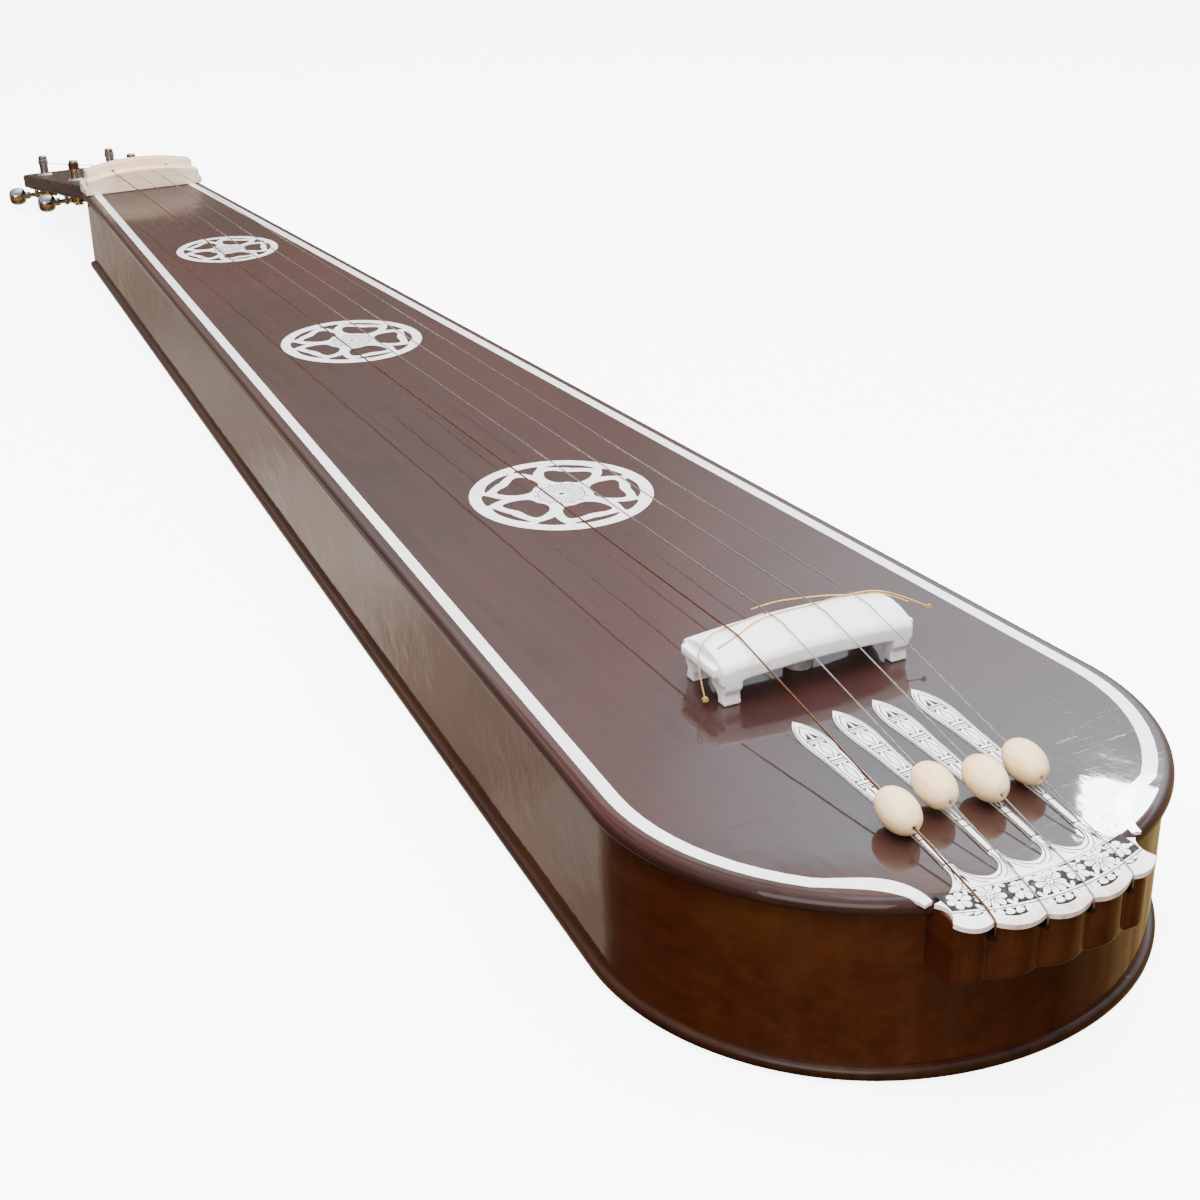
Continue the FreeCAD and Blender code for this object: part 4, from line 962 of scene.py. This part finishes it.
def knot(name, place, material):
    """A small knot at a thread's end: the wire goes round twice and meets itself."""
    points = []
    steps = 16
    for step in range(2 * steps + 1):
        turn = 2 * math.pi * step / steps
        wave = 0.45 * math.sin(1.5 * turn)
        reach = 0.62 + 0.22 * math.cos(1.5 * turn)
        points.append(place + Vector((reach * math.cos(turn), wave, reach * math.sin(turn))))
    return finish_piece(curve_object(name, points, JIVA_RADIUS * 1.05), material)


def jiva_thread(name, route, material):
    thread = curve_object(name + "_thread", route, JIVA_RADIUS, nurbs=True)
    finish_piece(thread, material, BODY, [name])
    if name != "jiva_right":
        end = route[0] if name == "jiva_left" else route[-1]
        knot(name + "_knot", end, material)


# ---- pieces kept from the CAD ---------------------------------------------------------------
def repaint(nodes, material, soften=0.0, passes=4):
    """Gives kept nodes a finish; soften is a voxel size in millimetres that rounds their edges."""
    for name in nodes:
        obj = bpy.data.objects[name]
        for slot in obj.material_slots:
            slot.material = material
        if soften:
            remesh = obj.modifiers.new("remesh", "REMESH")
            remesh.mode = "VOXEL"
            remesh.voxel_size = soften / 1000
            remesh.use_smooth_shade = True
            smooth = obj.modifiers.new("smooth", "SMOOTH")
            smooth.iterations = passes


def numbered(kind):
    """The names of the four nodes of one kind."""
    return ["%s_%d" % (kind, number) for number in range(1, STRINGS + 1)]


# ---- studio ---------------------------------------------------------------------------------
def studio_floor():
    """A wide sheet just under the part, seen by the camera only."""
    size = 6.0
    drop = 0.0005
    corners = [(-size, -size), (size, -size), (size, size), (-size, size)]
    mesh = bpy.data.meshes.new("floor")
    mesh.from_pydata([(x, y, -drop) for x, y in corners], [], [(0, 1, 2, 3)])
    floor = bpy.data.objects.new("floor", mesh)
    bpy.context.scene.collection.objects.link(floor)
    floor.data.materials.append(floor_paper())
    floor.visible_glossy = False
    floor.visible_diffuse = False


# The room in light and reflections, above and below the horizon: colours by height, times colours
# by direction.  Direction is a share of a full turn, clockwise from above: 0 is the tail's side,
# 0.25 the left, 0.5 the head's and 0.75 the right.
ABOVE_BY_HEIGHT = [
    (0.0, (0.31, 0.235, 0.19)), (0.24, (0.34, 0.26, 0.21)), (0.34, (0.66, 0.58, 0.545)),
    (0.44, (1.22, 1.16, 1.18)), (0.50, (1.75, 1.80, 1.9)), (0.53, (1.9, 1.95, 2.05)),
    (0.553, (1.1, 0.60, 0.32)), (0.59, (0.35, 0.22, 0.14)), (0.72, (0.8, 0.8, 0.84)),
    (0.85, (1.4, 1.4, 1.45)), (1.0, (1.6, 1.6, 1.65)),
]
ABOVE_BY_DIRECTION = [
    (0.0, (0.45, 0.45, 0.45)), (0.40, (0.5, 0.5, 0.5)), (0.50, (0.97, 0.92, 0.88)),
    (0.565, (0.90, 0.82, 0.79)), (0.577, (0.80, 0.70, 0.68)), (0.588, (1.2, 1.35, 1.41)),
    (0.60, (1.65, 1.95, 2.07)), (0.617, (1.95, 2.35, 2.5)), (0.667, (1.9, 2.25, 2.4)),
    (0.80, (0.6, 0.6, 0.62)), (1.0, (0.45, 0.45, 0.45)),
]
BELOW_BY_DIRECTION = [
    (0.0, (0.55, 0.29, 0.13)), (0.30, (0.08, 0.045, 0.02)), (0.41, (0.10, 0.06, 0.035)),
    (0.435, (0.95, 0.80, 0.68)), (0.52, (0.80, 0.66, 0.56)), (0.60, (0.30, 0.23, 0.15)),
    (0.66, (0.95, 0.72, 0.34)), (0.76, (0.52, 0.33, 0.13)), (0.86, (0.09, 0.05, 0.02)),
    (1.0, (0.55, 0.29, 0.13)),
]
BELOW_BY_HEIGHT = [
    (0.0, (0.5, 0.5, 0.5)), (0.25, (0.75, 0.7, 0.66)), (0.42, (1.2, 1.2, 1.2)),
    (0.58, (0.55, 0.52, 0.5)), (0.75, (0.85, 0.8, 0.76)), (1.0, (0.8, 0.74, 0.7)),
]
BELOW_BLOTS = [(0.38, (0.72, 0.66, 0.62)), (0.50, (1.0, 0.97, 0.94)), (0.62, (1.25, 1.32, 1.40))]
HORIZON = [(0.0, (0, 0, 0)), (1.0, (1, 1, 1))]
CAMERA_WHITE = (7, 7, 7, 1)


class Room:
    """The world's nodes; each method adds one and returns its output."""

    def __init__(self, name):
        self.world = bpy.data.worlds.new(name)
        self.world.use_nodes = True
        self.nodes = self.world.node_tree.nodes
        self.link = self.world.node_tree.links.new

    def ramp(self, value, low, high, stops):
        span = self.nodes.new("ShaderNodeMapRange")
        self.link(value, span.inputs["Value"])
        span.inputs["From Min"].default_value = low
        span.inputs["From Max"].default_value = high
        node = self.nodes.new("ShaderNodeValToRGB")
        self.link(span.outputs["Result"], node.inputs["Fac"])
        fill_ramp(node, stops)
        return node.outputs["Color"]

    def mix(self, share, first, second):
        node = self.nodes.new("ShaderNodeMix")
        node.data_type = "RGBA"
        self.link(share, node.inputs[MIX_SHARE])
        self.link(first, node.inputs[MIX_FIRST])
        self.link(second, node.inputs[MIX_SECOND])
        return node.outputs[MIX_COLOUR]

    def multiply(self, first, second):
        node = self.nodes.new("ShaderNodeMix")
        node.data_type = "RGBA"
        node.blend_type = "MULTIPLY"
        node.inputs[MIX_SHARE].default_value = 1.0
        self.link(first, node.inputs[MIX_FIRST])
        self.link(second, node.inputs[MIX_SECOND])
        return node.outputs[MIX_COLOUR]

    def blots(self, direction, scale):
        node = self.nodes.new("ShaderNodeTexNoise")
        self.link(direction, node.inputs["Vector"])
        node.inputs["Scale"].default_value = scale
        node.inputs["Detail"].default_value = 2.0
        return node.outputs["Fac"]


def studio_world():
    """White for the camera; for light and reflections a soft room, dark low down ahead."""
    room = Room("room")
    bpy.context.scene.world = room.world
    direction = room.nodes.new("ShaderNodeTexCoord").outputs["Generated"]
    split = room.nodes.new("ShaderNodeSeparateXYZ")
    room.link(direction, split.inputs[0])
    up = split.outputs["Z"]
    turn = room.nodes.new("ShaderNodeMath")
    turn.operation = "ARCTAN2"
    room.link(split.outputs["X"], turn.inputs[0])
    room.link(split.outputs["Y"], turn.inputs[1])
    across = turn.outputs["Value"]

    above = room.ramp(up, 0.0, 1.0, ABOVE_BY_HEIGHT)
    above = room.multiply(above, room.ramp(across, -math.pi, math.pi, ABOVE_BY_DIRECTION))
    below = room.ramp(across, -math.pi, math.pi, BELOW_BY_DIRECTION)
    below = room.multiply(below, room.ramp(up, -0.7, 0.0, BELOW_BY_HEIGHT))
    below = room.multiply(below, room.ramp(room.blots(direction, 9.0), 0.0, 1.0, BELOW_BLOTS))
    lit = room.mix(room.ramp(up, -0.08, 0.04, HORIZON), below, above)

    seen = room.nodes.new("ShaderNodeLightPath").outputs["Is Camera Ray"]
    white = room.nodes.new("ShaderNodeRGB").outputs[0]
    white.default_value = CAMERA_WHITE
    room.link(room.mix(seen, lit, white), room.nodes["Background"].inputs["Color"])
    room.nodes["Background"].inputs["Strength"].default_value = 1.0


def area_light(name, place, aim, size, power, colour=(1, 1, 1), shines=True):
    """A soft light, placed in the face frame; one that doesn't shine leaves no reflection."""
    data = bpy.data.lights.new(name, "AREA")
    data.shape = "RECTANGLE"
    data.size, data.size_y = size
    data.energy = power
    data.color = colour
    light = bpy.data.objects.new(name, data)
    bpy.context.scene.collection.objects.link(light)
    start = SEAT @ Vector(place)
    end = SEAT @ Vector(aim)
    lean = (start - end).to_track_quat("Z", "Y").to_matrix().to_4x4()
    light.matrix_world = Matrix.Translation(start) @ lean
    light.visible_camera = False
    light.visible_glossy = shines


def studio_lights():
    """Two small windows for the glint by the tailpiece, and two large soft lights."""
    area_light("window", (1138, 1140, 925), (38, 18, 0), (0.10, 0.065), 2.3, (0.90, 0.98, 1.0))
    area_light("window_foot", (968, 1050, 925), (0, -3, 0), (0.06, 0.035), 0.35, (0.86, 0.98, 1.0))
    area_light("overhead", (-150, 100, 1500), (0, 250, 0), (1.6, 1.6), 96, shines=False)
    area_light("front", (-900, -900, 700), (0, 100, 0), (1.2, 1.0), 12, (1.0, 0.97, 0.93))


# ---- put it together ------------------------------------------------------------------------
def dress_frame():
    """Finishes for every CAD node that stays in view."""
    side = lacquer_side()
    white = celluloid()
    worn = worn_celluloid()
    black = engraving()
    nickel = metal("nickel", (0.60, 0.59, 0.57), 0.24)
    chrome = metal("chrome", (0.78, 0.78, 0.80), 0.07, 0.85)
    brass = metal("brass", (0.66, 0.46, 0.18), 0.3)
    raw = raw_wood("raw_wood", (0.42, 0.29, 0.17), (0.66, 0.50, 0.32))
    foot = raw_wood("foot_wood", (0.34, 0.31, 0.28), (0.60, 0.57, 0.53))
    nut = bone("nut_bone", (0.97, 0.77, 0.58), (0.88, 0.60, 0.42), (0.1, 1, 1))
    soundboard(lacquer_top())
    back_board(lip_lacquer())
    wall("rib_left", -1, side)
    wall("rib_right", 1, side)
    repaint(["inlay_band_left", "inlay_band_right"], white)
    repaint(["rosette_" + name for name in ROSETTES], white)
    repaint(["tailpiece_plate", "tailpiece_fingers"], worn)
    repaint(["fluted_block"], side, 0.6, 6)
    repaint(["headstock"], dark_wood(), 0.9, 3)
    repaint(["head_block"], side)
    repaint(["bridge"], bridge_plastic(), 0.38, 5)
    repaint(["bridge_foot"], foot, 0.3, 2)
    repaint(["nut_front", "nut_back"], nut, 0.4, 4)
    repaint(["tail_block", "top_braces", "back_braces", "top_lining_left", "top_lining_right",
             "back_lining_left", "back_lining_right"], raw)
    repaint(["tuner_plates", "plate_screws"] + numbered("gear_screw"), nickel)
    repaint(["post_bushings"], chrome)
    for kind in ("tuner_post", "tuner_knob", "tuner_worm"):
        repaint(numbered(kind), chrome)
    repaint(["hitch_pins"], metal("dark_pin", (0.10, 0.09, 0.08), 0.4))
    repaint(numbered("tuner_gear"), brass)
    for name in ROSETTES:
        rosette_engraving(name, black)
    for index in range(STRINGS):
        finger_engraving(index, black)
    plate_engraving(black, worn)


def string_set():
    copper = metal("copper_string", (0.34, 0.14, 0.08), 0.28)
    steel = metal("steel_string", (0.62, 0.61, 0.58), 0.25)
    egg = bone("bead_bone", (0.99, 0.76, 0.46), (0.93, 0.57, 0.28))
    thread = cotton()
    for name, route, length in jiva_routes():
        jiva_thread(name, route, thread)
    for index in range(STRINGS):
        string(index, copper if index == 0 else steel)
        bead(index, egg)


add_camera()
string_set()
dress_frame()
studio_floor()
studio_world()
studio_lights()
